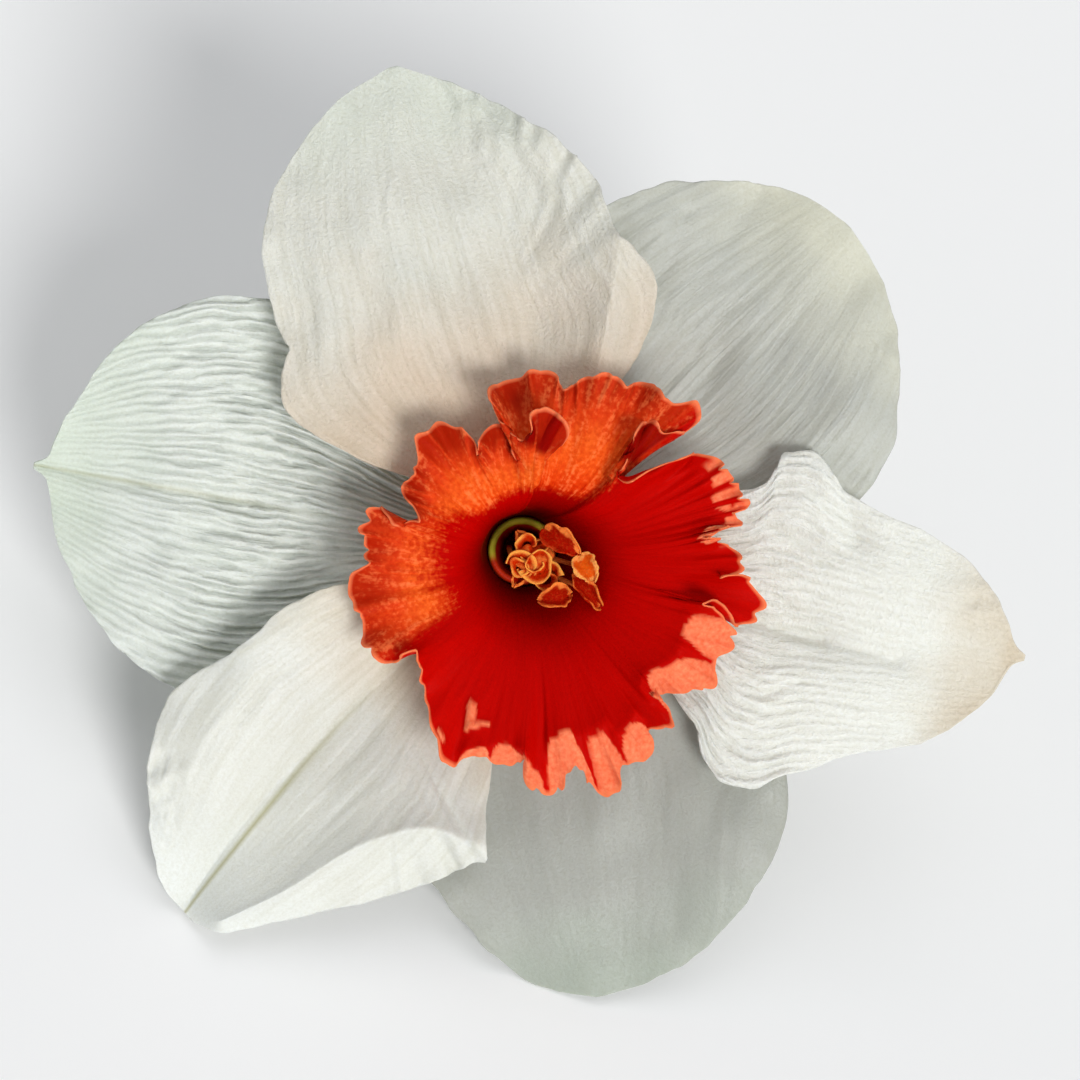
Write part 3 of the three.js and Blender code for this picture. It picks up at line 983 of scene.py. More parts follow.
@dataclass(frozen=True)
class Tepal:
    """One petal-like segment. It lies along its heading, in degrees round the face. Its edges run from
    its claw to the tip in its own frame: x along its midrib, y to the left as the face is seen.

    Attributes:
        name: The node that it stands for.
        whorl: The ring that it belongs to.
        heading: Direction of its midrib.
        left: Points of its left edge after the claw.
        right: Points of its right edge after the claw.
        finish: Its tissue.
        seed: Picks its noise.
        curl: Rise of its left and right margins.
        folds: Its folds.
        crumples: Its crumpled patches.
        gathers: Its gathered margins.
        wrinkle: Height of the wrinkles along the veins.
        wrinkle_reach: How far up the petal they go, from 0 to 1.
        swell: Height of the broad unevenness.
        claw: The first points of its left edge, which the right edge mirrors.
        wave_size: Length and width of a wrinkle.
        fine_size: Length and width of a fine wrinkle.
        swell_size: Length and width of a swelling.
        ripple_size: Length of a ripple in the margin.
        ragged: How far the edge strays from its curve.
        thickness: Its full thickness.
        rows: Quads along it.
        columns: Quads across it.
    """

    name: str
    whorl: Whorl
    heading: float
    left: Sequence[Pair]
    right: Sequence[Pair]
    finish: PetalTissue
    seed: int
    curl: Pair = (0, 0)
    folds: Sequence[Fold] = ()
    crumples: Sequence[Crumple] = ()
    gathers: Sequence[Gather] = ()
    wrinkle: float = 0.05
    wrinkle_reach: float = 1.0
    swell: float = 0.6
    claw: Sequence[Pair] = ((3.6, 1.9), (5, 2.4))
    wave_size: Pair = (9, 1.1)
    fine_size: Pair = (5, 0.6)
    swell_size: Pair = (11, 8)
    ripple_size: float = 4
    ragged: float = 0.16
    thickness: float = 0.6
    rows: int = 150
    columns: int = 156

    def relief(self, x: Array, y: Array, across: Array, lane: Array, width: Array) -> Array:
        """Height of the tepal's face.

        Args:
            x: Distance along the midrib.
            y: Distance to its left.
            across: From -1 at the right edge to 1 at the left edge.
            lane: The same in millimetres, along veins that draw together towards the ends.
            width: The tepal's width there, as a share of its greatest width.

        Returns:
            W of each point in the bloom's frame.
        """
        grain = Grain(self.seed)
        radius = np.hypot(x, y)
        curl = np.where(across > 0, self.curl[0], self.curl[1]) * across**4 * smoothstep(width, 0, 0.6)
        folded = sum((fold.height(x, y) for fold in self.folds), np.zeros_like(x))
        wander = 0.9 * grain.at(x / 5, lane / 4)
        waves = grain.layers(x / self.wave_size[0] + 9, lane / self.wave_size[1] + wander + 60, count=2)
        fine = grain.layers(x / self.fine_size[0] + 3, lane / self.fine_size[1] + 90, count=2)
        share = x / self.left[-1][0]
        fading = 1 - smoothstep(share, self.wrinkle_reach - 0.35, self.wrinkle_reach + 0.15)
        wrinkled = (self.wrinkle * fading * (waves + 0.3 * fine) + 0.015 * fine) * width
        swelling = grain.layers(x / self.swell_size[0] + 20, y / self.swell_size[1] + 20, count=2)
        swell = self.swell * swelling * smoothstep(radius, 14, 24)
        ripple = 0.3 * grain.layers(x / self.ripple_size + 70, y / self.ripple_size + 5, count=2) * across**6
        crumpled = sum((patch.height(x, y, grain) for patch in self.crumples), np.zeros_like(x))
        crumpled += sum((gather.height(x, y, across, grain) for gather in self.gathers), np.zeros_like(x))
        rising = smoothstep(radius, 5.5, 12)
        tip = 1 - smoothstep(share, 0.95, 1)
        uneven = swell + (ripple + crumpled + wrinkled) * tip
        return self.whorl.dish(radius) + (curl + folded + uneven) * rising

    def build(self) -> Piece:
        """Builds the tepal as a thin closed solid and dresses it.

        Returns:
            The finished piece.
        """
        sheet, along, across = new_sheet(self.name + "_tissue", self.rows, self.columns)
        row = np.rint(along * self.rows).astype(int)
        left = curve_through([*self.claw, *self.left], self.rows + 1)
        right = curve_through([*((x, -y) for x, y in self.claw), *self.right], self.rows + 1)
        foot, tip = self.claw[0][0], self.left[-1][0]
        middle = foot + (tip - foot) * along
        edge = np.where(across[:, None] > 0, left[row], right[row])
        spread = np.abs(across)
        x = middle + (edge[:, 0] - middle) * spread
        y = edge[:, 1] * spread
        width = np.linalg.norm(left - right, axis=1)
        share = (width / width.max())[row]
        spacing = 0.1 + 0.3 * smoothstep(along, 0.35, 0.8)
        lane = y / (spacing + (1 - spacing) * share)
        grain = Grain(self.seed + 50)
        between = smoothstep(along, 0.1, 0.3) * (1 - smoothstep(along, 0.92, 0.97))
        ragged = self.ragged * spread**12 * between
        x = x + grain.layers(along * 22, across + 3) * ragged
        y = y + grain.layers(along * 22, across + 9) * ragged
        w = self.relief(x, y, across, lane, share)
        heading = math.radians(self.heading)
        points = np.stack([
            x * math.cos(heading) - y * math.sin(heading),
            x * math.sin(heading) + y * math.cos(heading),
            w,
        ], axis=1)
        write_points(sheet, LIE.of_bloom(points))
        write_uv(sheet, x / tip, lane / tip + 0.5)
        thicken(sheet, self.thickness, 1 - np.maximum(across**4, along**3), 0.5)
        return hand_in(sheet, self.finish, "tepal", self.name)


TEPALS = [
    Tepal(
        name="tepal_top", whorl=Whorl.FRONT, heading=105, seed=3, curl=(0.8, 0.6),
        left=[(7.4, 4.5), (11.4, 11), (17, 17.4), (20.5, 19), (24.4, 17.6), (25.4, 16.9), (26.4, 17.3),
              (32, 17.5), (38, 16.2), (44.5, 11), (48, 5.8), (49.9, 0.5)],
        right=[(7.4, -4.5), (11, -10), (16.4, -16.6), (21.7, -19.6), (26, -18.6), (27.6, -17.5),
               (34.6, -16.3), (42, -11), (46.5, -6), (49.9, -0.5)],
        folds=[
            Fold([(13, -10.6), (21.8, -15.0), (27, -17.3)], 3.2, 6, 4, sharp=True),
            Fold([(14, 12), (20, 14)], 1.6, 6, 6),
            Fold([(48.5, 0.4), (38, 3), (26, 4.2)], 2.2, 3, 10),
        ],
        crumples=[Crumple(40, -9, 4, 0.2, 1.2)],
        gathers=[Gather(-66, -6, 5, 1, 3)],
        wrinkle=0.12, swell=1.1,
        finish=PetalTissue(
            "white_petal_cream_base", base="#d8bb9b", face="#d9d9d1", tip="#cdd2c8", blush=0.62,
            vein_depth=0.16, sparkle=0.36, cell=0.36,
        ),
    ),
    Tepal(
        name="tepal_left", whorl=Whorl.BACK, heading=170, seed=5,
        left=[(7.4, 3.2), (12, 9), (19, 16), (26, 19.8), (31.8, 19.7), (37, 17.5), (42.6, 13),
              (46.5, 7.1), (48.3, 2.6), (48.9, 1.1), (50.2, 0.3)],
        right=[(7.4, -3.2), (12, -9), (18, -15), (24, -19.3), (30, -20.5), (36, -19.6), (42.4, -15),
               (46.5, -8.6), (48.6, -2.8), (49, -1.1), (50.2, -0.2)],
        folds=[
            Fold([(14, 0), (44, 0)], -1.4, 9, 9),
            Fold([(28, 0.6), (40, 0.4), (49.6, 0)], -0.9, 0.8, 1.2, sharp=True),
            Fold([(15, 4.5), (34, 7)], 0.5, 1.8, 2.6),
        ],
        wrinkle=0.5, wrinkle_reach=0.9, swell=0.5,
        finish=PetalTissue(
            "white_petal_greenish", base="#dedccf", face="#e4e9e2", tip="#ccd6c8", blush=0.3,
            # The dark groove colour is partly painted shade.
            vein_depth=0.62, vein_reach=0.76, vein_scale=(12, 80), groove_tint_and_shade="#c4c8c3", ribs=52,
            midrib=0.4, sparkle=0.14,
        ),
    ),
    Tepal(
        name="tepal_lower_left", whorl=Whorl.FRONT, heading=228, seed=8, curl=(0, 0.6),
        left=[(7.4, 3.6), (12, 8.5), (18.8, 12.8), (22.6, 15.4), (24.7, 17.5), (25.3, 17.9),
              (25.9, 17.1), (28, 16.4), (31, 15), (35, 12.6), (42, 7.8), (45.6, 5.3), (48.3, 2.6),
              (49.5, 0.3)],
        right=[(7.4, -4.2), (12, -9.2), (18.5, -13.2), (26.2, -14.5), (33.5, -16.3),
               (38.6, -14.6), (43.3, -10.8), (46.6, -7.6), (48.9, -4), (49.5, -0.3)],
        folds=[
            Fold([(24.6, 16), (26.4, 11.4), (32, 7.6), (40.6, 5), (47, 2.4)], 4.4, 4.4, 5, sharp=True),
            Fold([(13, -8.5), (24, -11), (37, -10)], 2.4, 8, 6),
            Fold([(12, -0.8), (26, -2.4), (40, -2.4), (48.2, -1.4)], -2.8, 5.5, 3.2, sharp=True),
        ],
        crumples=[Crumple(41, -12, 3, 0.5, 1.4), Crumple(44, -9, 2.2, 0.4, 1.2)],
        gathers=[Gather(34, 78, 4, 1, 3)],
        wrinkle=0.08, swell=0.7,
        finish=PetalTissue(
            "white_petal_cream", base="#d8c7a5", face="#dedfd8", tip="#e0e3de", blush=0.5, vein_depth=0.08,
            midrib=0.8, midrib_place=0.46,
        ),
    ),
    Tepal(
        name="tepal_bottom", whorl=Whorl.BACK, heading=280, seed=13,
        left=[(7.4, 3.2), (12, 11), (18, 18.5), (24, 22), (30, 21.9), (35.7, 18.9), (41.7, 12.7),
              (45, 6.2), (45.8, 0.5)],
        right=[(7.4, -3.2), (12, -9.5), (18, -15.5), (25, -16.8), (33.5, -13.6), (40, -9.6),
               (43.8, -6), (45.8, -0.5)],
        folds=[Fold([(14, 2), (40, 2)], -1.2, 12, 12)],
        wrinkle=0.04,
        # Painted shade: this white tepal's face, base and tip are painted grey, darker than the others.
        finish=PetalTissue(
            "painted_shade_white_petal_rosy_base", base="#b09a8f", face="#a9aba4", tip="#a6ada2", blush=0.45,
            vein_depth=0.02, groove_tint_and_shade="#fcfcfa",
        ),
    ),
    Tepal(
        name="tepal_right", whorl=Whorl.FRONT, heading=348, seed=21, curl=(0.2, 0.3),
        left=[(7.4, 4), (13, 7.4), (19, 10), (22.2, 11.4), (23, 13.4), (23.3, 14.9), (24.5, 15.3),
              (26.2, 15.8), (27.5, 15), (30.2, 12.6), (32, 11.8), (34.8, 11.2), (38.8, 10.3), (43.2, 8.5),
              (46.6, 5.9), (48.9, 3), (50.1, 1), (51.3, 0.3)],
        right=[(7.4, -4), (13, -7.4), (19.7, -12.6), (23, -17.6), (26, -18.6), (31, -16),
               (36.3, -13.2), (44.7, -9.2), (48.8, -4.6), (50, -1), (51.3, -0.3)],
        folds=[
            Fold([(30.4, 12.6), (31.2, 10), (32.3, 8)], -1.7, 5, 2.2, sharp=True),
            Fold([(32.3, 8), (26, 7), (16, 5)], -0.5, 2.4, 4),
            Fold([(22, 12), (28, 12)], 0.9, 4, 5),
            Fold([(15, -1.2), (24, -2.2), (31, -2.7)], -1.4, 3.4, 1.3, sharp=True),
            Fold([(22, -2), (31, -2.7), (39, -3)], -1.1, 3.4, 1.3, sharp=True),
            Fold([(34, 6), (46, 3)], 0.9, 5, 4),
        ],
        crumples=[Crumple(27, 12, 4, 0.12, 1.2), Crumple(46.4, 4.6, 2, 0.3, 1.6)],
        wrinkle=0.3, wrinkle_reach=0.7, swell=0.5,
        finish=PetalTissue(
            "white_petal_warm", base="#d8cab2", face="#e8e9e2", tip="#d2c6b2", blush=0.42,
            # The groove colour is partly painted shade.
            vein_depth=0.55, vein_reach=0.6, vein_scale=(18, 78), groove_tint_and_shade="#dcdad2", ribs=46,
            rib_share=(0.05, 0.35), sparkle=0.3, cell=0.36,
        ),
    ),
    Tepal(
        name="tepal_upper_right", whorl=Whorl.BACK, heading=45, seed=34,
        left=[(7.4, 3.2), (12, 9.5), (18, 15.5), (24, 18.6), (30.7, 18.4), (36, 16.2), (41.8, 11),
              (45.6, 5.2), (46.5, 0.4)],
        right=[(7.4, -3.2), (12, -9.5), (18, -16.5), (23, -19.5), (28, -20.3), (33.4, -19.1),
               (37.4, -16.1), (42, -11.6), (45.4, -5.4), (46.5, -0.4)],
        folds=[
            Fold([(14, 0), (40, 0)], -1.4, 10, 10),
            Fold([(27, -13), (33, -12.4), (38.8, -10.6), (45, -2)], 1.7, 8, 4),
            Fold([(28.9, 9.8), (32.4, 11), (35.4, 12.4)], -0.6, 1, 1.5),
            Fold([(36.6, 7.6), (42.4, 8.8)], -0.5, 1, 1.5),
        ],
        crumples=[Crumple(40, -12, 3.4, 0.15, 1.3)],
        wrinkle=0.12, swell=0.9,
        # Painted shade: this white tepal's face, base and tip are painted grey, darker than the others.
        finish=PetalTissue(
            "painted_shade_white_petal", base="#b0aca5", face="#bcbeb7", tip="#cdcdbe", blush=0.35, vein_depth=0.25,
        ),
    ),
]


# ---------------------------------------------------------------- corona


def face_inside_up(sheet: Piece) -> None:
    """Turns an open cup's faces so that they point into it, towards the viewer of the bloom.

    Args:
        sheet: The cup.
    """
    face_up = LIE.turn()[:, 2]
    normals = np.empty(len(sheet.data.polygons) * 3)
    sheet.data.polygons.foreach_get("normal", normals)
    if (normals.reshape(-1, 3) @ face_up).sum() < 0:
        with editing(sheet):
            bpy.ops.mesh.flip_normals()


@dataclass(frozen=True)
class Curl:
    """A small curl of tissue that stands up on the cup's face, painted pale as a highlight like the flared
    stretches: its line, its radius and its rise.
    """

    path: Sequence[Pair]
    radius: float
    rise: float


@dataclass(frozen=True)
class Flare:
    """A stretch of the rim, between two headings in degrees, that turns down outside a crest. The crest
    runs a width inside the rim. Where the stretch is combed, only its teeth turn down. The turned-down part
    is painted paler, a painted highlight."""

    start: float
    end: float
    width: float
    drop: float
    comb: bool = False


@dataclass(frozen=True)
class Pocket:
    """A place where the rim folds round on itself; the red inside it is painted darker, a painted shade."""

    centre: Pair
    radius: float


@dataclass(frozen=True)
class Corona:
    """The frilled red cup. Its rim is one long edge that is gathered into lobes, tucks and curls; each
    of these fades inwards over a depth that grows with its own width, down to the plain round cup.

    Attributes:
        cup: Radius and W of the plain cup, from its throat outwards.
        lean: How far the cup leans to U and V for each millimetre of W.
        rim: Points of the edge, in the bloom's frame.
        curls: Its small curls.
        flares: Stretches of the rim that turn down and are painted paler as highlight.
        pockets: Where the rim folds in and darker painted shade goes.
        shade_middle: U and V of the middle of the deep red painted shade, where no orange painted light is
            laid.
        lit_side: The side where light falls on the face, as U and V; the orange painted light and the
            painted crease shade go there.
        frilled_side: The side where the pleats are highest, as U and V.
        columns: Quads round it.
        rows: Quads from its throat to its rim.
        slant: Its length from the throat to the rim.
        bites: How many small bites there can be in the rim.
        bite_depth: Their depth.
        smooth_stretch: Headings between which the rim is smoother.
        comb_teeth: How many close teeth would go round the rim.
        comb_stretch: Headings between which they are cut.
        comb_depth: Their depth.
        stiffness: How fast a wave of the rim fades inwards.
        thickness: Its full thickness.
        finish: Its tissue.
    """

    cup: Sequence[Pair] = (
        (3.5, -2.9), (3.8, -0.8), (4.8, 1.6), (6.5, 4.1), (9.2, 6.4), (12.5, 7.7), (16.5, 8.6), (20, 9.4),
    )
    lean: Pair = (0.36, -0.29)
    rim: Sequence[Triple] = (
        # right-hand lobe and the hooked tuck above it
        (20.5, -7.2, 9.2), (23, -6.5, 8.4), (23.4, -5, 8), (22.6, -3.2, 8.8), (21, -2.3, 10.5),
        (19.6, -2.7, 12), (21, -1.5, 11), (20.9, -0.2, 9.6), (19.9, 1, 10.2), (18, 1.4, 12.2),
        # lobe with close teeth
        (19.4, 2.3, 11.8), (21.4, 2.7, 9.4), (21.2, 3.7, 10), (21.6, 4.4, 9), (21.2, 5.1, 10),
        (21.1, 6.3, 9), (19.9, 7.7, 10.4), (18.9, 8.6, 9.4), (17.3, 9.6, 9.4), (15.5, 8.8, 11.2),
        # deep pocket, upper right
        (12.5, 7.8, 12.2), (10.2, 6.5, 12), (9.4, 7.4, 10.6), (10.3, 8.8, 12), (10.6, 11, 12.5),
        (11.5, 12.3, 12.3), (13, 12.2, 11.6),
        # pointed flap above the pocket, then the upper frill
        (14.4, 11.3, 10.4), (16.3, 11.8, 9), (17.1, 12.7, 8.5), (16.4, 13.7, 8.9), (14.9, 14.4, 9.6),
        (13.7, 15.2, 10.8), (12.9, 16.2, 9), (11.4, 16.6, 8.8), (10.2, 15.9, 10.5), (8.7, 17, 9),
        (7.3, 16.9, 10), (5.9, 16.8, 9), (4.1, 15.7, 10.9),
        # tongue at the top
        (3.2, 17.3, 9), (1.2, 17.7, 8.7), (-0.8, 16.8, 8.8), (-3.1, 16.1, 9.6), (-2.8, 14, 9.8),
        (-1.5, 12, 10.4), (0.3, 10.7, 11.6),
        # the edge curls back on itself
        (1, 11.5, 12.6), (0.8, 13.1, 12.8), (2.2, 13.7, 12.8), (4, 12.7, 12.2), (4.6, 11.4, 11.6),
        (3.2, 9.8, 11), (1.2, 9.4, 10.8), (0, 8.6, 10.5),
        # small lobe, then the upper left lobes
        (-1, 9.6, 10.6), (-0.8, 11.2, 10.2), (-2.4, 12.4, 9.9), (-3.9, 11.2, 9.9), (-4.3, 9.2, 11.5),
        (-4.7, 10.9, 9.8), (-6.2, 12.2, 9), (-8, 12.3, 8.8), (-9, 11.2, 10), (-10.3, 10, 9.2),
        (-10.5, 8.6, 8.8), (-10.2, 7.4, 10.3), (-11.4, 6.7, 9.4), (-11.6, 5.8, 9.6), (-10.2, 4.2, 11.5),
        # left-hand notch and lobes
        (-9.6, 2.8, 12.4), (-10.8, 2.9, 11.2), (-12.1, 2.4, 11.1), (-13.2, 4.2, 9.4), (-14.3, 4.1, 8.8),
        (-15.3, 2.4, 8.8), (-14.8, 1, 10.4), (-15.3, -0.3, 9.3), (-14.6, -1.2, 10.6), (-15.9, -2.4, 8.9),
        (-16.1, -4.4, 9.6), (-15.7, -6.8, 8.9), (-15.5, -8.8, 8.8), (-14, -9.7, 9.4), (-13, -10.7, 9.2),
        (-12, -10.6, 10.4), (-11.1, -9.5, 11.8), (-10, -9.6, 12.2),
        # lower left edge
        (-10, -11.4, 11), (-9.8, -13, 9.6), (-9.5, -15, 9.2), (-8.9, -17.2, 9.2), (-7.9, -18.9, 9.2),
        (-6.8, -20.4, 8.7), (-5.5, -19.5, 9.7), (-4.1, -19.5, 9.6), (-2.6, -20.9, 8.2), (-0.8, -21.1, 8.3),
        (0.3, -20, 10.5),
        # flared lobes along the bottom
        (0.2, -22, 9), (1.6, -23.2, 8.2), (3.4, -23.3, 7.9), (4.3, -22, 9.6), (5, -20.9, 10.4),
        (6, -21.4, 9.6), (6.7, -23, 8.8), (8, -23.8, 7.6), (9.2, -22.8, 8.2), (9.6, -21.4, 9.4),
        (11, -20.3, 9), (12.3, -19.4, 8.5), (12.9, -18.5, 9), (12.5, -17.5, 10), (14.6, -16.8, 8.5),
        # lower right notch, the broad flap and the tuck beside it
        (14.3, -15.2, 9.2), (13, -13.9, 10.6), (12.2, -13.4, 11.8), (14, -13.6, 9.6), (16.5, -13.4, 8.5),
        (18.5, -13.3, 8), (19.3, -11.7, 9), (19.6, -10.2, 8.9), (20.8, -8.7, 8.4), (20.2, -7, 10),
        (19, -5.6, 11.4), (17.8, -5.3, 12.2), (19, -4.7, 11.5), (20.3, -5.6, 10),
    )
    curls: Sequence[Curl] = (
        Curl([(-4.9, -14.9), (-4.8, -15.4), (-5.1, -16.9)], 0.42, 0.7),
        Curl([(-5.5, -17.3), (-4.6, -16.9), (-3.2, -16.8)], 0.27, 0.6),
        Curl([(-8, -17.3), (-7.6, -18.2)], 0.3, 0.4),
    )
    flares: Sequence[Flare] = (
        Flare(-47.5, -30.5, 4.6, 2.6), Flare(-30, -18.5, 4.8, 2), Flare(-63.5, -54.5, 3.4, 2),
        Flare(-72, -64, 5.2, 2.2), Flare(-83.5, -72.5, 4.7, 2), Flare(-90, -84.5, 1.7, 1.2),
        Flare(-98.5, -89.5, 2.1, 1.4), Flare(-107, -99, 1.3, 1), Flare(3, 25, 2.6, 0.8, comb=True),
    )
    pockets: Sequence[Pocket] = (Pocket((2.5, 11.8), 2.3), Pocket((12.3, 10.3), 2.9))
    shade_middle: Pair = (1.5, -0.5)
    lit_side: Pair = (-0.62, 0.78)
    frilled_side: Pair = (-0.5, 0.85)
    columns: int = 1020
    rows: int = 46
    slant: float = 24
    bites: int = 120
    bite_depth: float = 1.2
    smooth_stretch: Pair = (47.5, 107.5)
    comb_teeth: int = 110
    comb_stretch: Pair = (1, 25)
    comb_depth: float = 0.8
    stiffness: float = 0.5
    thickness: float = 0.4
    finish: CoronaTissue = CoronaTissue()

    def steps(self) -> Array:
        """Each row's place from the throat, 0, to the rim, 1; the rows crowd towards the rim."""
        return 1 - (1 - np.linspace(0, 1, self.rows + 1)) ** 1.7

    def depths(self) -> Array:
        """Each row's distance in from the rim, in millimetres."""
        return (1 - self.steps()) * self.slant

    def edge(self) -> Array:
        """The rim, sampled once for each column, with fine teeth along it.

        Returns:
            One point for each column, in the bloom's frame.
        """
        edge = curve_through(self.rim, self.columns, closed=True)
        grain = Grain(77)
        around = np.arange(self.columns) / self.columns
        out = edge[:, :2] / np.linalg.norm(edge[:, :2], axis=1)[:, None]
        bites = np.abs(grain.at(around * self.bites, around * 0, wrap=self.bites))
        nicks = grain.at(around * 2 * self.bites, around * 0 + 9, wrap=2 * self.bites)
        teeth = 0.4 * nicks - self.bite_depth * (0.35 - bites)
        teeth = teeth * smoothstep(np.linalg.norm(edge[:, :2], axis=1), 11, 15)
        heading = np.degrees(np.arctan2(edge[:, 1], edge[:, 0]))
        teeth *= 1 - 0.65 * plateau(heading, *self.smooth_stretch, 7.5)
        combed = plateau(heading, *self.comb_stretch, 3)
        teeth -= self.comb_depth * combed * np.maximum(self.combing(around), 0) ** 3
        edge[:, :2] += out * teeth[:, None]
        edge[:, 2] += 0.3 * grain.layers(around * 150, around * 0 + 40, wrap=150, count=2)
        return edge

    def combing(self, around: Array) -> Array:
        """Where the close teeth are cut: above 0 in the gaps between them, below 0 on them."""
        return np.sin(2 * np.pi * self.comb_teeth * around)

    def cup_turns(self, edge: Array) -> Array:
        """The direction in the round cup from which each column starts, in radians.

        Args:
            edge: The sampled rim.

        Returns:
            Angles that never run backwards, even where the edge does.
        """
        height = edge[:, 2:]
        flat = edge[:, :2] - height * self.lean
        turn = np.unwrap(np.arctan2(flat[:, 1], flat[:, 0]))
        even = turn[0] + 2 * np.pi * np.arange(self.columns) / self.columns
        stray = np.fft.rfft(turn - even)
        stray *= np.exp(-((np.arange(len(stray)) / 7) ** 2))
        smooth = even + np.fft.irfft(stray, self.columns)
        forward = np.maximum.accumulate(smooth)
        return 0.85 * forward + 0.15 * even

    def surface(self) -> tuple[Array, Array, Array]:
        """The cup's inner face.

        Returns:
            Its points as rows from the throat to the rim, how far each is flared, and how deep in a crease.
        """
        edge = self.edge()
        turn = self.cup_turns(edge)
        fine = curve_through(self.cup, 400)
        places = np.linspace(0, 1, len(fine))
        profile = np.stack([np.interp(self.steps(), places, axis) for axis in fine.T], axis=1)
        rise = np.maximum(profile[:, 1], 0)[:, None]
        plain = np.stack([
            self.lean[0] * rise + profile[:, :1] * np.cos(turn),
            self.lean[1] * rise + profile[:, :1] * np.sin(turn),
            np.repeat(profile[:, 1:], self.columns, axis=1),
        ], axis=2)
        waves = np.fft.rfft(edge - plain[-1], axis=0)
        perimeter = np.linalg.norm(np.diff(edge, axis=0), axis=1).sum()
        wavelength = perimeter / np.maximum(np.arange(len(waves)), 1)
        rows = np.empty_like(plain)
        for index, (step, depth) in enumerate(zip(self.steps(), self.depths())):
            fading = np.exp(-2 * np.pi * self.stiffness * depth / wavelength) * step**1.4
            rows[index] = plain[index] + np.fft.irfft(waves * fading[:, None], self.columns, axis=0)
        flared = self.turn_down(rows, edge)
        return rows, flared, self.pleat(rows, edge, flared)

    def turn_down(self, rows: Array, edge: Array) -> Array:
        """Turns stretches of the rim down outside a crest, and stands the small curls up on the face.

        Args:
            rows: The cup's face, which it changes.
            edge: The sampled rim.

        Returns:
            How far each point is flared, from 0 to 1, which the material paints paler as highlight.
        """
        depth = self.depths()[:, None]
        heading = np.degrees(np.arctan2(edge[:, 1], edge[:, 0]))[None, :]
        around = np.arange(self.columns)[None, :] / self.columns + 0 * depth
        flared = np.zeros(rows.shape[:2])
        own = np.degrees(np.arctan2(rows[:, :, 1], rows[:, :, 0]))
        blotched = 0.25 * Grain(91).at(rows[:, :, 0] / 1.6 + 60, rows[:, :, 1] / 1.6 + 60)
        for flare in self.flares:
            inside = plateau(heading, flare.start - 0.5, flare.end + 0.5, 1.5)
            share = (2 * own - flare.start - flare.end) / (flare.end - flare.start)
            patch = flare.width * np.sqrt(np.clip(1 - np.abs(share) ** 3, 0, 1)) * (1 + blotched)
            if flare.comb:
                inside = inside * (1 - smoothstep(self.combing(around), 0, 0.4))
                patch = flare.width * (0.75 + 2 * blotched)
            beyond = np.clip(1 - depth / flare.width, 0, 1)
            before = np.exp(-np.maximum(depth - flare.width, 0) / 2.5) * (depth >= flare.width)
            crest = np.where(depth < flare.width, 1 - 2 * beyond, before)
            rows[:, :, 2] += inside * flare.drop * 0.6 * crest
            flared = np.maximum(flared, inside * smoothstep(patch - depth, -0.05, 0.2))
        for curl in self.curls:
            gap, _ = beside_path(rows[:, :, 0], rows[:, :, 1], np.array(curl.path))
            within = curl.radius * (1 + 1.5 * blotched) - gap
            rows[:, :, 2] += curl.rise * smoothstep(within, -0.6 * curl.radius, 0.8 * curl.radius)
            flared = np.maximum(flared, smoothstep(within, -0.04, 0.1))
        return flared

    def pleat(self, rows: Array, edge: Array, flared: Array) -> Array:
        """Adds soft radial pleats and creases, and works out where painted crease shade goes.

        Args:
            rows: The cup's face, which it changes.
            edge: The sampled rim.
            flared: How far each point is flared.

        Returns:
            How much painted crease shade each point gets, from 0 to 1: deep between pleats, in patches, on
            the lit side and near the rim.
        """
        depth = self.depths()[:, None]
        around = np.arange(self.columns)[None, :] / self.columns + 0 * depth
        grain = Grain(91)
        upper = 0.3 + 0.7 * smoothstep(edge[:, :2] @ np.array(self.frilled_side), -4, 5)[None, :]
        pleats = grain.layers(around * 56, depth / 12, wrap=56, count=2)
        creases = 0.5 - 2 * np.abs(grain.at(around * 130 + 0.4 * depth / 9, depth / 8 + 30, wrap=130))
        rows[:, :, 2] += upper * (1.7 * pleats * np.exp(-depth / 4.5) + 1.1 * creases * np.exp(-depth / 3.5))
        # Painted crease shade: deep between pleats, in patches, on the lit side, near the rim.
        sunk = smoothstep(-creases - 0.5 * pleats, -0.15, 0.25)
        here = smoothstep(grain.layers(around * 26, depth / 9 + 31, wrap=26, count=2), -0.35, 0.25)
        lit = smoothstep(edge[:, :2] @ np.array(self.lit_side), -1, 3)[None, :]
        lit = np.maximum(lit, 0.25 * flared)
        return sunk * here * lit * (1 - smoothstep(depth, 1.5, 6.5))

    def folded_in(self, face: Array, rim: Array) -> Array:
        """How far each point lies inside a pocket of the rim, where painted shade goes.

        Args:
            face: The points.
            rim: The rim's point in each one's column.

        Returns:
            A share from 0 to 1 for each point.
        """
        found = np.zeros(len(face))
        for pocket in self.pockets:
            own, at_rim = [np.linalg.norm(spots[:, :2] - pocket.centre, axis=1) for spots in (face, rim)]
            inside = np.exp(-((own / pocket.radius) ** 6)) * np.exp(-((at_rim / pocket.radius) ** 6))
            found = np.maximum(found, inside)
        return smoothstep(found, 0.1, 0.7)

    def build(self) -> Piece:
        """Builds the corona as a thin closed wall and dresses it.

        Returns:
            The finished piece.
        """
        sheet, around, level = new_sheet("corona_frill", self.columns, self.rows)
        column = np.rint(around * self.columns).astype(int) % self.columns
        row = np.rint((level + 1) / 2 * self.rows).astype(int)
        rows, flared, crease_shade = self.surface()
        face = rows[row, column]
        write_points(sheet, LIE.of_bloom(face))
        write_uv(sheet, around, self.steps()[row])
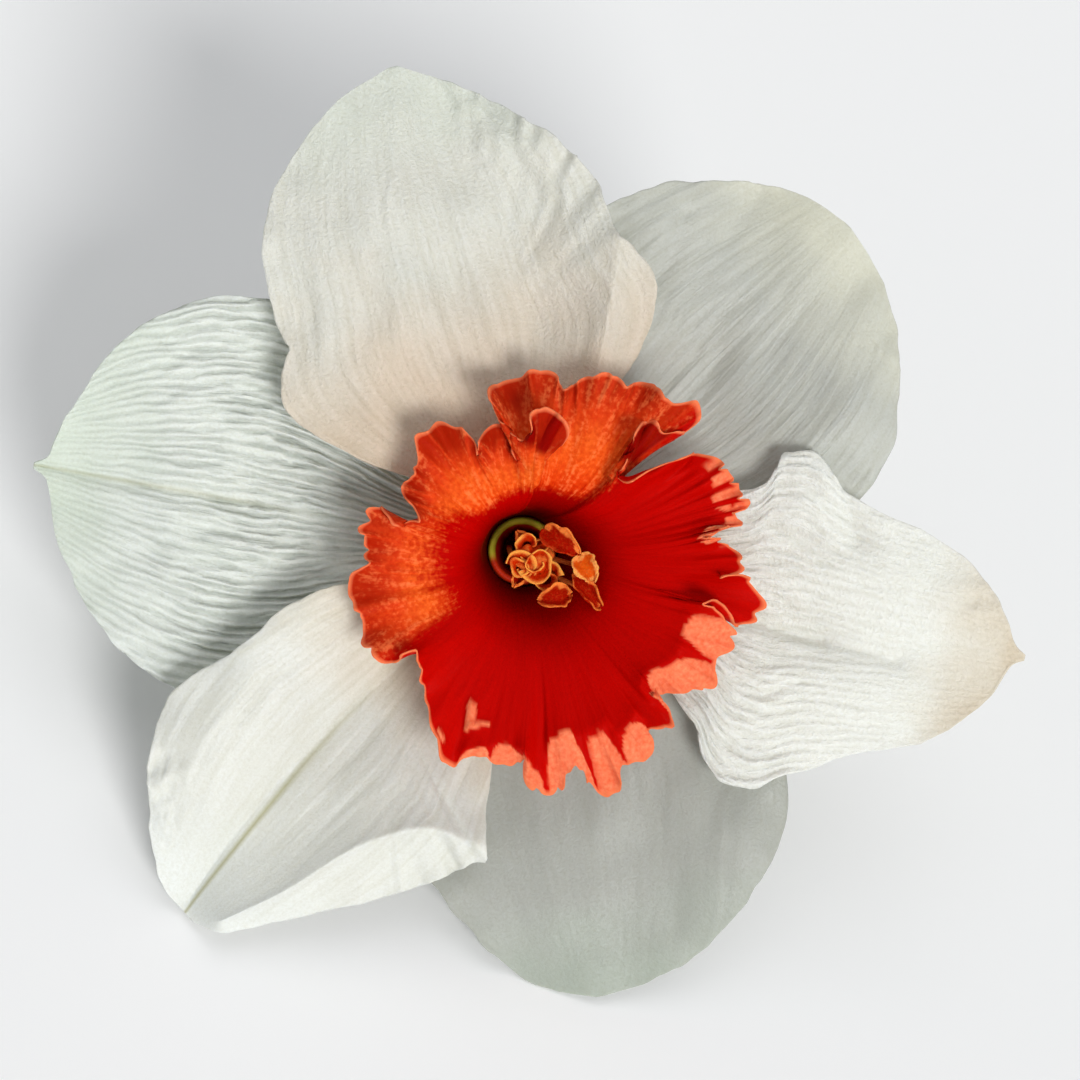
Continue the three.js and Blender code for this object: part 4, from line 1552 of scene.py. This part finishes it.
        # Orange painted light on the lit side. It stops short of the throat, further out on the left, and
        # the rim's shadow there is painted as deep red.
        from_shade = face[:, :2] - self.shade_middle
        outside = np.linalg.norm(from_shade, axis=1)
        leftward = smoothstep(-from_shade[:, 0] / outside, 0.75, 1)
        painted_light = smoothstep(face[:, :2] @ np.array(self.lit_side), -1.8, 2.2)
        painted_light *= smoothstep((outside - 5.6) / (2.4 + 8 * leftward), 0, 1)
        write_attribute(sheet, "painted_light", painted_light)
        write_attribute(sheet, "flare", flared[row, column])
        write_attribute(sheet, "crease", crease_shade[row, column])
        write_attribute(sheet, "pocket", self.folded_in(face, rows[-1, column]))
        write_attribute(sheet, "depth", self.depths()[row])
        merge_seams(sheet)
        face_inside_up(sheet)
        depth = read_attribute(sheet, "depth")
        thicken(sheet, self.thickness, smoothstep(depth, -0.3, 2), 0.3)
        return hand_in(sheet, self.finish, "corona", "corona")


# ---------------------------------------------------------------- tube, ovary, neck, stalk


def new_tube(name: str, rings: Array) -> Piece:
    """A closed tube skinned over rings, with its ends filled and a UV map (along, round).

    Args:
        name: The piece's name.
        rings: The rings' points in metres, one ring after another.

    Returns:
        The new mesh object.
    """
    count, sides = rings.shape[:2]
    tube, along, across = new_sheet(name, count - 1, sides)
    write_attribute(tube, "ring", along)
    ring = np.rint(along * (count - 1)).astype(int)
    side = np.rint((across + 1) / 2 * sides).astype(int) % sides
    write_points(tube, rings[ring, side])
    merge_seams(tube)
    with editing(tube):
        bpy.ops.mesh.select_mode(type="EDGE")
        bpy.ops.mesh.select_all(action="DESELECT")
        bpy.ops.mesh.select_non_manifold()
        bpy.ops.mesh.edge_face_add()
    face_outwards(tube)
    return tube


def turned_rings(profile: Array, sides: int, shape: Callable[[Array, Array], Array]) -> Array:
    """Rings about the bloom's W axis.

    Args:
        profile: Radius and W of each ring.
        sides: Points in a ring.
        shape: Gives the radius its variation from the angle and the place along the profile.

    Returns:
        The rings in metres where they lie.
    """
    angle = np.linspace(0, 2 * np.pi, sides, endpoint=False)[None, :]
    along = np.linspace(0, 1, len(profile))[:, None]
    radius = profile[:, :1] * shape(angle, along)
    height = np.repeat(profile[:, 1:], sides, axis=1)
    rings = np.stack([radius * np.cos(angle), radius * np.sin(angle), height], axis=2)
    return LIE.of_bloom(rings)


def rod_rings(path: Array, radius: Array, sides: int, squash: float = 1.0) -> Array:
    """Rings square to a path, level with the ground or the face.

    Args:
        path: The middle line, one row for each ring.
        radius: Each ring's radius.
        sides: Points in a ring.
        squash: Its height beside its width.

    Returns:
        The rings, in the path's own frame.
    """
    forward = np.gradient(path, axis=0)
    forward /= np.linalg.norm(forward, axis=1)[:, None]
    aside = np.cross(forward, [0, 0, 1.0])
    for i, row in enumerate(aside):
        if np.linalg.norm(row) < 0.2:
            aside[i] = aside[i - 1] if i else [1, 0, 0]
    aside /= np.linalg.norm(aside, axis=1)[:, None]
    above = np.cross(aside, forward)
    angle = np.linspace(0, 2 * np.pi, sides, endpoint=False)
    cosine, sine = np.cos(angle)[None, :, None], squash * np.sin(angle)[None, :, None]
    ring = cosine * aside[:, None] + sine * above[:, None]
    return path[:, None] + np.asarray(radius)[:, None, None] * ring


@dataclass(frozen=True)
class TubeTissue:
    """The tube: pale green outside, stained dark red within, with its lip yellow-green on one side only."""

    name: str = "green_tube_stained_red_within"
    lip: str = "#e0dc3c"

    def material(self) -> Material:
        """Builds the tube's material, on its UV map and its stain and lip attributes.

        Returns:
            The new material.
        """
        material, tree, uv, _ = new_material(self.name)
        split = add_node(tree, "SeparateXYZ", {0: uv})
        stain = add_node(tree, "Attribute", attribute_name="stain")
        lip = add_node(tree, "Attribute", attribute_name="lip")
        round_it = round_pattern(tree, split.outputs["Y"], split.outputs["X"], 40, 3)
        lines = add_node(tree, "TexNoise", {"Vector": round_it, "Scale": 1, "Detail": 3})
        green = add_node(tree, "ValToRGB", {"Fac": lines}, stops=[(0.35, "#93a552"), (0.62, "#c6cd8a")])
        red = add_node(
            tree, "ValToRGB", {"Fac": stain.outputs["Fac"]},
            stops=[(0.5, "#c82c0c"), (0.75, "#dc2008"), (1.0, "#c41404")],
        )
        within = add_node(tree, "MapRange", {0: stain.outputs["Fac"], 1: 0.1, 2: 0.4})
        stained = add_node(tree, "MixRGB", {"Fac": within, 1: green, 2: red})
        lipped = add_node(tree, "MixRGB", {"Fac": lip.outputs["Fac"], 1: stained, 2: linear(self.lip)})
        finish_shader(tree, [(lines, 0.1, 0.5)], {
            "Base Color": lipped,
            "Roughness": 0.45,
            "IOR": 1.4,
            "Specular IOR Level": 0.3,
            "Subsurface Weight": 0.2,
            "Subsurface Radius": (0.6, 1.0, 0.3),
            "Subsurface Scale": 0.8 * MM,
        })
        return material


@dataclass(frozen=True)
class PerianthTube:
    """The green tube behind the face. Low ribs run down it, and it widens under the tepals. Its lip is
    yellow-green on one side, given as U and V, and red like the lining elsewhere."""

    top: float = -3.4
    length: float = 18.6
    rib_count: int = 6
    rib_height: float = 0.05
    green_lip_side: Pair = (-0.5, 0.87)

    def ribbed(self, angle: Array, along: Array) -> Array:
        """The radius beside a round tube's, by the angle and the place along the profile."""
        fading = np.sin(np.pi * np.minimum(along / 0.6, 1))
        return 1 + self.rib_height * np.cos(self.rib_count * angle) * fading

    def build(self) -> Piece:
        """Builds the tube, hollow at its mouth, and dresses it.

        Returns:
            The finished piece.
        """
        foot = self.top - self.length
        outside = [
            (1.9, foot - 0.1), (2.4, foot + 0.4), (2.5, -18), (2.6, -14), (2.8, -11), (3.05, -8),
            (3.5, -5.6), (4.4, -4.6), (5.7, -4.1), (6, -3.7), (5.6, -3.4), (4, -3.3),
        ]
        inside = [
            (3.45, -2.9), (3.42, -2.0), (3.25, -1.5), (3, -1.4), (2.75, -1.8), (2.6, -3), (2.4, -6),
            (2.2, -10), (2, -14),
        ]
        profile = np.vstack([curve_through(outside, 60), curve_through(inside, 40)])
        tube = new_tube("perianth_tube_skin", turned_rings(profile, 96, self.ribbed))
        local = LIE.to_bloom(read_points(tube))
        radius, height = np.hypot(local[:, 0], local[:, 1]), local[:, 2]
        lining = smoothstep(read_attribute(tube, "ring"), 0.56, 0.6)
        write_attribute(tube, "stain", lining * (0.5 + 0.5 * smoothstep(-height, 2.2, 5)))
        # The lip is yellow-green only on one side, and red like the lining elsewhere.
        facing = (local[:, :2] @ np.array(self.green_lip_side)) / radius
        write_attribute(tube, "lip", smoothstep(height, -2.3, -1.9) * smoothstep(facing, 0.15, 0.5))
        return hand_in(tube, TubeTissue(), "tube", "perianth_tube")


@dataclass(frozen=True)
class Ovary:
    """The green seed chamber, a spindle of three joined lobes."""

    middle: float = OVARY_MIDDLE
    length: float = 8.8
    radius: float = 3.5
    furrow: float = 0.05

    def lobed(self, turn: Array, along: Array) -> Array:
        """The radius beside a round spindle's, by the angle and the place along the profile."""
        return 1 - self.furrow * (1 - np.abs(np.cos(1.5 * turn))) ** 2 * np.sin(np.pi * along)

    def build(self) -> Piece:
        """Builds the ovary and dresses it.

        Returns:
            The finished piece.
        """
        angle = np.linspace(-0.485 * np.pi, 0.485 * np.pi, 48)
        profile = np.stack([
            self.radius * np.cos(angle) ** 0.7, self.middle + (self.length / 2 + 0.15) * np.sin(angle),
        ], axis=1)
        ovary = new_tube("ovary_skin", turned_rings(profile, 96, self.lobed))
        finish = GreenSkin("green_ovary_skin", shade="#4f7a32", light="#7fa04c")
        return hand_in(ovary, finish, "green_tissue", "ovary")


@dataclass(frozen=True)
class Stem:
    """The bent neck under the ovary and the cut stalk, which runs away along the ground."""

    ovary_end: float = -31.1
    neck_radius: float = 1.3
    stiffness: float = 4.2
    stalk: Sequence[Triple] = ((1.4, 29.5, 2.6), (3.6, 42, 2.6), (7.4, 58, 2.6), (12.5, 76, 2.6))
    half_width: float = 3.2
    half_height: float = 2.6
    bore: float = 1.344
    ridge_count: int = 14
    ridge_height: float = 0.012

    def neck(self) -> Piece:
        """Builds the neck, from inside the ovary's foot to inside the stalk's shoulder.

        Returns:
            The finished piece.
        """
        heart = LIE.heart() * [0, 0, 1]
        away = -LIE.turn()[:, 2]
        line = curve_through(self.stalk, 100)
        onward = (line[1] - line[0]) / np.linalg.norm(line[1] - line[0])
        start = heart - away * (self.ovary_end + 0.5)
        end = line[0] + onward * 0.6
        corners = [start, start + away * self.stiffness, end - onward * self.stiffness, end]
        share = np.linspace(0, 1, 60)[:, None]
        path = sum(
            math.comb(3, n) * share**n * (1 - share) ** (3 - n) * corner for n, corner in enumerate(corners)
        )
        radius = self.neck_radius * (1 + 0.28 * (1 - smoothstep(share[:, 0], 0, 0.25)))
        radius = radius * (1 + 0.3 * smoothstep(share[:, 0], 0.8, 1))
        neck = new_tube("neck_skin", LIE.on_ground(rod_rings(path, radius, 48)))
        finish = GreenSkin("green_neck_skin", shade="#5b8438", light="#8cab58")
        return hand_in(neck, finish, "green_tissue", "neck")

    def cut_stalk(self) -> Piece:
        """Builds the oval stalk with its low ridges and the hollow in its cut end.

        Returns:
            The finished piece.
        """
        line = curve_through(self.stalk, 150)
        shoulder = 0.62 + 0.38 * smoothstep(np.linspace(0, 1, len(line)), 0, 0.05)
        rings = rod_rings(line, self.half_width * shoulder, 96, self.half_height / self.half_width)
        angle = np.linspace(0, 2 * np.pi, 96, endpoint=False)
        ridged = 1 - self.ridge_height * (1 - np.cos(self.ridge_count * angle))[None, :, None]
        rings = line[:, None] + (rings - line[:, None]) * ridged
        end = rings[-1:] - line[-1]
        lip = [line[-1] + end * size for size in (0.96, 0.8, 0.6, 0.47)]
        bore = [line[index] + end * self.bore / self.half_width for index in (148, 140, 110, 60)]
        stalk = new_tube("stalk_skin", LIE.on_ground(np.vstack([rings, *lip, *bore])))
        finish = GreenSkin("green_stalk_skin", shade="#5f8a3c", light="#93b262", line_spacing=0.3)
        return hand_in(stalk, finish, "green_tissue", "stalk")


@dataclass(frozen=True)
class Spathe:
    """The papery sheath: wrapped round the foot of the neck, then a pointed tongue beside it."""

    path: Sequence[Triple] = ((1.6, 27.2, 2.8), (3, 24, 3), (5.6, 18.5, 3.6), (9.4, 10, 4.4))
    wrap: Pair = (105, 48)
    radius: float = 2.1
    thickness: float = 0.3
    outward: Triple = (0.83, 0.55, 0)
    rows: int = 110
    columns: int = 70

    def build(self) -> Piece:
        """Builds the sheath and dresses it.

        Returns:
            The finished piece.
        """
        sheet, along, across = new_sheet("spathe_paper", self.rows, self.columns)
        middle = curve_through(self.path, self.rows + 1)[np.rint(along * self.rows).astype(int)]
        half = self.wrap[0] + (self.wrap[1] - self.wrap[0]) * smoothstep(along, 0, 0.4)
        radius = self.radius + (0.5 - self.radius) * along**2 + 1.2 * np.sin(np.pi * along)
        grain = Grain(61)
        radius = radius * (1 + 0.06 * grain.layers(along * 4, across * 5) * np.sin(np.pi * along))
        radius = radius + 0.05 * grain.at(along * 3, across * 16 + 30)
        turn = np.radians(half) * across
        points = middle + (radius * np.cos(turn))[:, None] * self.outward
        points[:, 2] += radius * np.sin(turn) * 0.8
        write_points(sheet, LIE.on_ground(points))
        thicken(sheet, self.thickness, 1 - along**2, 0.4)
        return hand_in(sheet, PaperySheath(), "dry_sheath", "spathe")


# ---------------------------------------------------------------- stamens and style


@dataclass(frozen=True)
class Stamen:
    """A filament and its open anther, which has dried into a cupped leaf with raised, paler edges.

    Attributes:
        number: Its number, from 1.
        at: The anther's middle, in the bloom's frame.
        along: The way the anther points.
        length: The anther's length.
        width: Its greatest width.
        cup: How far its sides stand up.
        heavy: How much wider it grows towards its far end, or below 0 towards its near end.
        bow: How far its ends bend down.
        pale: How pale its left and right edges are; the pale edge is real, and the side that light falls on
            gets it wider and paler, a painted highlight.
        finish: The anther's tissue.
        thickness: Its full thickness.
        filament_radius: The filament's radius, before its taper.
        wall_radius: How far from the tube's axis the filament rises.
        first_foot: Where the first filament leaves the wall, in degrees round W.
        spacing: Degrees from one filament to the next.
        rows: Quads along the anther.
        columns: Quads across it.
    """

    number: int
    at: Triple
    along: Triple
    length: float
    width: float = 1.6
    cup: float = 0.5
    heavy: float = 0.0
    bow: float = 0.4
    pale: Pair = (1, 1)
    finish: RidgedTissue = RidgedTissue("red_anther_tissue", hollow="#a61200", edge="#f4843a")
    thickness: float = 0.34
    filament_radius: float = 0.28
    wall_radius: float = 1.35
    first_foot: float = 50
    spacing: float = 60
    rows: int = 44
    columns: int = 30

    def anther(self) -> Piece:
        """Builds the anther and dresses it.

        Returns:
            The finished piece.
        """
        sheet, along, side = new_sheet(f"anther_{self.number}_leaf", self.rows, self.columns)
        end = -np.cos(along * np.pi)
        grain = Grain(200 + self.number)
        outline = (1 - end**2 * 0.99) ** 0.5 * (1 + self.heavy * end)
        outline = outline * (1 + 0.3 * grain.layers(end * 1.8 + 5, side * 0.7 + 5, count=2))
        across = side * outline * self.width / 2
        frill = 0.35 * grain.layers(end * 2.6 + 30, side * 1.5 + 9, count=2) * side**2
        lobed = 0.5 + 0.5 * np.cos(3 * np.pi * side + 1.5 * grain.at(end * 2, side * 0))
        height = self.cup * np.abs(side) ** 2.2 * (0.3 + 0.7 * outline) + frill - self.bow * end**2
        height = height + 0.12 * lobed * outline
        onward = np.array(self.along, float)
        onward /= np.linalg.norm(onward)
        aside = np.cross([0, 0, 1.0], onward)
        aside /= np.linalg.norm(aside)
        above = np.cross(onward, aside)
        points = (
            np.array(self.at)
            + (end * self.length / 2)[:, None] * onward
            + across[:, None] * aside
            + height[:, None] * above
        )
        write_points(sheet, LIE.of_bloom(points))
        rim = np.maximum(np.abs(side), np.abs(end))
        # Paler edges, wider on the side that light falls on: partly a painted highlight.
        pale = np.where(side > 0, self.pale[0], self.pale[1])
        bare = 0.86 - 0.26 * pale + 0.15 * grain.layers(end * 3, side * 3 + 70)
        write_attribute(sheet, "ridge", smoothstep(rim - bare, 0, 0.3) * pale)
        thicken(sheet, self.thickness, 1 - smoothstep(rim, 0.6, 1), 0.4)
        return hand_in(sheet, self.finish, "pollen", f"anther_{self.number}")

    def filament(self) -> Piece:
        """Builds the tapering filament from the tube's wall to the anther.

        Returns:
            The finished piece.
        """
        angle = math.radians(self.first_foot - self.spacing * (self.number - 1))
        foot = self.wall_radius * np.array([math.cos(angle), math.sin(angle)])
        under = np.array(self.at) - [0, 0, 0.6]
        near, half = [foot + (under[:2] - foot) * share for share in (0.1, 0.55)]
        throat = -1.4
        rise = 0.55 * (under[2] - throat)
        points = [(*foot, -11.5), (*foot, -5), (*near, throat), (*half, throat + rise), under]
        path = curve_through(points, 50)
        radius = self.filament_radius * (1.2 - 0.45 * np.linspace(0, 1, len(path)))
        filament = new_tube(f"filament_{self.number}_stalk", LIE.of_bloom(rod_rings(path, radius, 20)))
        finish = GreenSkin("orange_filament_skin", shade="#d04818", light="#f08a3c")
        return hand_in(filament, finish, "tube", f"filament_{self.number}")


STAMENS = [
    Stamen(
        1, at=(3.9, 1.0, 5.3), along=(0.8, -0.6, 0.15), length=4.3, width=2.2, cup=1.0, heavy=-0.3, bow=0.5,
        # The lit side's edge is paler: partly a painted highlight.
        pale=(1.1, 0.15),
    ),
    Stamen(
        2, at=(6.4, -1.7, 5.4), along=(0.45, -0.9, 0.1), length=3.0, width=2.5, cup=0.8, heavy=-0.35,
        finish=RidgedTissue("orange_anther_tissue", hollow="#d8540c", edge="#f4a254"),
    ),
    Stamen(
        3, at=(6.5, -3.9, 5.3), along=(0.62, -0.78, 0.1), length=4.4, width=1.5, cup=0.8, heavy=0.15,
        pale=(0.7, 0.5),
    ),
    Stamen(
        4, at=(3.4, -4.5, 5.2), along=(-0.96, -0.2, 0.2), length=3.4, width=2.2, cup=1.3, bow=0.9,
        pale=(0.6, 0.9),
    ),
    Stamen(5, at=(-0.2, -2.5, 4.2), along=(-0.3, -0.5, 0.8), length=3.0, width=1.7, cup=0.9),
    Stamen(6, at=(0.3, 1.0, 4.0), along=(-0.4, 0.5, 0.8), length=3.0, width=1.7, cup=0.9),
]


@dataclass(frozen=True)
class Roll:
    """One lobe of the stigma: a short ribbon rolled up on its edge, with a frilled, paler top. It starts
    at a heading in degrees, and its hand is 1 or -1 for the way it rolls."""

    centre: Triple
    radius: float
    turns: float
    start: float
    hand: int = 1
    height: float = 1.5
    thickness: float = 0.32
    seed: int = 1
    rows: int = 110
    columns: int = 10

    def build(self) -> Piece:
        """Builds the rolled ribbon.

        Returns:
            The ribbon, not yet joined to the stigma.
        """
        ribbon, along, across = new_sheet("stigma_roll", self.rows, self.columns)
        up = (across + 1) / 2
        grain = Grain(300 + self.seed)
        angle = math.radians(self.start) + self.hand * 2 * np.pi * self.turns * along
        reach = self.radius * (0.2 + 0.6 * along**0.8)
        frill = 0.35 * grain.layers(along * 7, up * 1.5, count=2) * up
        reach = reach + (0.5 * up**2 + frill) * (0.5 + along)
        level = self.height * (up - 0.7) * (0.75 + 0.25 * along)
        level = level + 0.3 * grain.at(along * 7 + 20, up * 0) * up
        rolled = np.stack([reach * np.cos(angle), reach * np.sin(angle), level], axis=1)
        write_points(ribbon, LIE.of_bloom(rolled + self.centre))
        patchy = 0.75 + 0.6 * grain.at(along * 9, up * 0 + 50)
        write_attribute(ribbon, "ridge", smoothstep(up, 0.75, 1) * patchy)
        thicken(ribbon, self.thickness, 1 - up, 0.35)
        return ribbon


@dataclass(frozen=True)
class Pistil:
    """The style up the middle of the tube and the rolled lobes of the stigma at its end."""

    at: Triple = (1.2, -0.9, 5.2)
    foot: float = -22.0
    radius: float = 0.45
    rolls: Sequence[Roll] = (
        Roll((-0.1, -1.6, 5.6), 1.3, 1.9, 200, seed=1),
        Roll((1.5, -1.3, 5.8), 1.2, 1.5, 20, hand=-1, seed=2),
        Roll((0.7, 0.6, 5.3), 1.5, 1.1, 330, seed=3),
        Roll((2.5, -2.7, 5.0), 1.1, 1.3, 120, hand=-1, seed=4),
        Roll((2.5, 0.2, 4.3), 1.0, 1.0, 250, seed=5),
    )

    def style(self) -> Piece:
        """Builds the style and dresses it.

        Returns:
            The finished piece.
        """
        u, v, w = self.at
        path = curve_through([(0, 0, self.foot), (0, 0, -8), (0.2, -0.15, -3), (u, v, w - 0.6)], 60)
        rings = rod_rings(path, np.full(len(path), self.radius), 24)
        style = new_tube("style_column", LIE.of_bloom(rings))
        finish = GreenSkin("yellow_style_skin", shade="#b8942c", light="#d8c26a")
        return hand_in(style, finish, "tube", "style")

    def stigma(self) -> Piece:
        """Builds the stigma from its rolled lobes on a soft cushion, and dresses it.

        Returns:
            The finished piece.
        """
        bpy.ops.object.select_all(action="DESELECT")
        bpy.ops.mesh.primitive_uv_sphere_add(segments=48, ring_count=24, radius=1)
        cushion = bpy.context.object
        ball = read_points(cushion)
        grain = Grain(320)
        swollen = 1 + 0.25 * grain.layers(ball[:, 0] * 2 + 9, ball[:, 1] * 2 + ball[:, 2] + 9, count=2)
        points = ball * [1.7, 1.5, 0.6] * swollen[:, None] + self.at
        write_points(cushion, LIE.of_bloom(points))
        write_attribute(cushion, "ridge", 0.25 * smoothstep(swollen, 1, 1.2))
        lobes = [roll.build() for roll in self.rolls]
        alone(cushion)
        for lobe in lobes:
            lobe.select_set(True)
        bpy.ops.object.join()
        cushion.name = cushion.data.name = "stigma_lobes"
        finish = RidgedTissue("orange_stigma_tissue", hollow="#c02800", edge="#f8a046")
        return hand_in(cushion, finish, "pollen", "stigma")


# ---------------------------------------------------------------- floor, light and camera


def in_scene(name: str, data: bpy.types.ID) -> Piece:
    """Adds a light or a camera to the scene.

    Args:
        name: Its name.
        data: The light or the camera.

    Returns:
        The object that holds it.
    """
    holder = bpy.data.objects.new(name, data)
    bpy.context.scene.collection.objects.link(holder)
    return holder


@dataclass(frozen=True)
class Studio:
    """Plain pale floor, soft light and the camera, which looks down on the flower's face. The floor's
    half side is in metres, the other lengths in millimetres and the key light's spread in degrees."""

    floor_half: float = 9.0
    floor_gap: float = 0.02
    floor_colour: str = "#fbfbfa"
    view_distance: float = 300
    view_width: float = 108
    view_centre: Pair = (1.8, 1.1)
    key_direction: Triple = (0.34, -0.34, 0.88)
    key_strength: float = 2.1
    key_spread: float = 20
    room_colour: str = "#9c9ea1"
    sensor: float = 36

    def floor(self, lowest: float) -> None:
        """Lays the floor just under the flower.

        Args:
            lowest: Height of the flower's lowest point, in metres.
        """
        bpy.ops.object.select_all(action="DESELECT")
        place = (0, 0, lowest - self.floor_gap * MM)
        bpy.ops.mesh.primitive_plane_add(size=2 * self.floor_half, location=place)
        floor = bpy.context.object
        floor.name = "studio_floor"
        material, tree, _, spot = new_material("matt_white_paint")
        grain = add_node(tree, "TexNoise", {"Vector": spot, "Scale": 900, "Detail": 2})
        finish_shader(tree, [(grain, 0.02, 0.3)], {
            "Base Color": linear(self.floor_colour),
            "Roughness": 0.9,
            "Specular IOR Level": 0.0,
        })
        floor.data.materials.append(material)
        floor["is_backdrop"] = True

    def panel(self, name: str, towards: Sequence[float], distance: float, size: float, power: float) -> None:
        """Adds a square light panel that points at the flower.

        Args:
            name: The panel's name.
            towards: Direction from the flower to the panel.
            distance: How far off it is, in metres.
            size: Its side, in metres.
            power: Its power, in watts.
        """
        data = bpy.data.lights.new(name, "AREA")
        data.size = size
        data.energy = power
        lamp = in_scene(name, data)
        direction = Vector(towards).normalized()
        lamp.location = Vector(LIE.heart() * MM) + direction * distance
        lamp.rotation_euler = direction.to_track_quat("Z", "Y").to_euler()

    def light(self) -> None:
        """Sets a broad soft key light, a panel overhead and a pale room that is brightest low down."""
        key = bpy.data.lights.new("key", "SUN")
        key.energy = self.key_strength
        key.angle = math.radians(self.key_spread)
        lamp = in_scene("key", key)
        towards = Vector(LIE.turn() @ np.array(self.key_direction))
        lamp.rotation_euler = towards.to_track_quat("Z", "Y").to_euler()
        self.panel("overhead", towards=(0, 0.1, 1), distance=1.1, size=1.0, power=2.8)
        world = bpy.data.worlds.new("pale_room")
        world.use_nodes = True
        tree = world.node_tree
        place = add_node(tree, "TexCoord")
        split = add_node(tree, "SeparateXYZ", {0: place.outputs["Generated"]})
        walls = add_node(
            tree, "ValToRGB", {"Fac": split.outputs["Z"]},
            stops=[(0.0, "#fafafa"), (0.08, "#e8eaec"), (0.3, self.room_colour)],
        )
        tree.links.new(walls.outputs[0], tree.nodes["Background"].inputs["Color"])
        bpy.context.scene.world = world

    def camera(self) -> None:
        """Sets the camera square to the flower's face."""
        data = bpy.data.cameras.new("face_camera")
        data.sensor_width = self.sensor
        data.lens = self.sensor * self.view_distance / self.view_width
        data.clip_start = 0.01
        camera = in_scene("face_camera", data)
        camera.location = LIE.of_bloom([*self.view_centre, self.view_distance])
        camera.rotation_euler = Matrix(LIE.turn().tolist()).to_euler()
        bpy.context.scene.camera = camera
        bpy.context.scene.view_settings.view_transform = "Standard"


def flower_pieces() -> Iterator[Piece]:
    """Builds the flower from its face back to its stalk.

    Yields:
        Each piece as it is finished.
    """
    for tepal in TEPALS:
        yield tepal.build()
    yield Corona().build()
    yield PerianthTube().build()
    yield Ovary().build()
    for stamen in STAMENS:
        yield stamen.anther()
        yield stamen.filament()
    pistil, stem = Pistil(), Stem()
    yield pistil.style()
    yield pistil.stigma()
    yield stem.neck()
    yield stem.cut_stalk()
    yield Spathe().build()


def main() -> None:
    """Builds the flower piece by piece, then the studio."""
    logging.basicConfig(level=logging.INFO, format="%(message)s")
    studio = Studio()
    studio.camera()
    for piece in flower_pieces():
        log.info("%s: %d faces, %s", piece.name, len(piece.data.polygons), piece.active_material.name)
    low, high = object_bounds()
    studio.floor(low.z)
    studio.light()


if __name__ == "__main__":
    main()
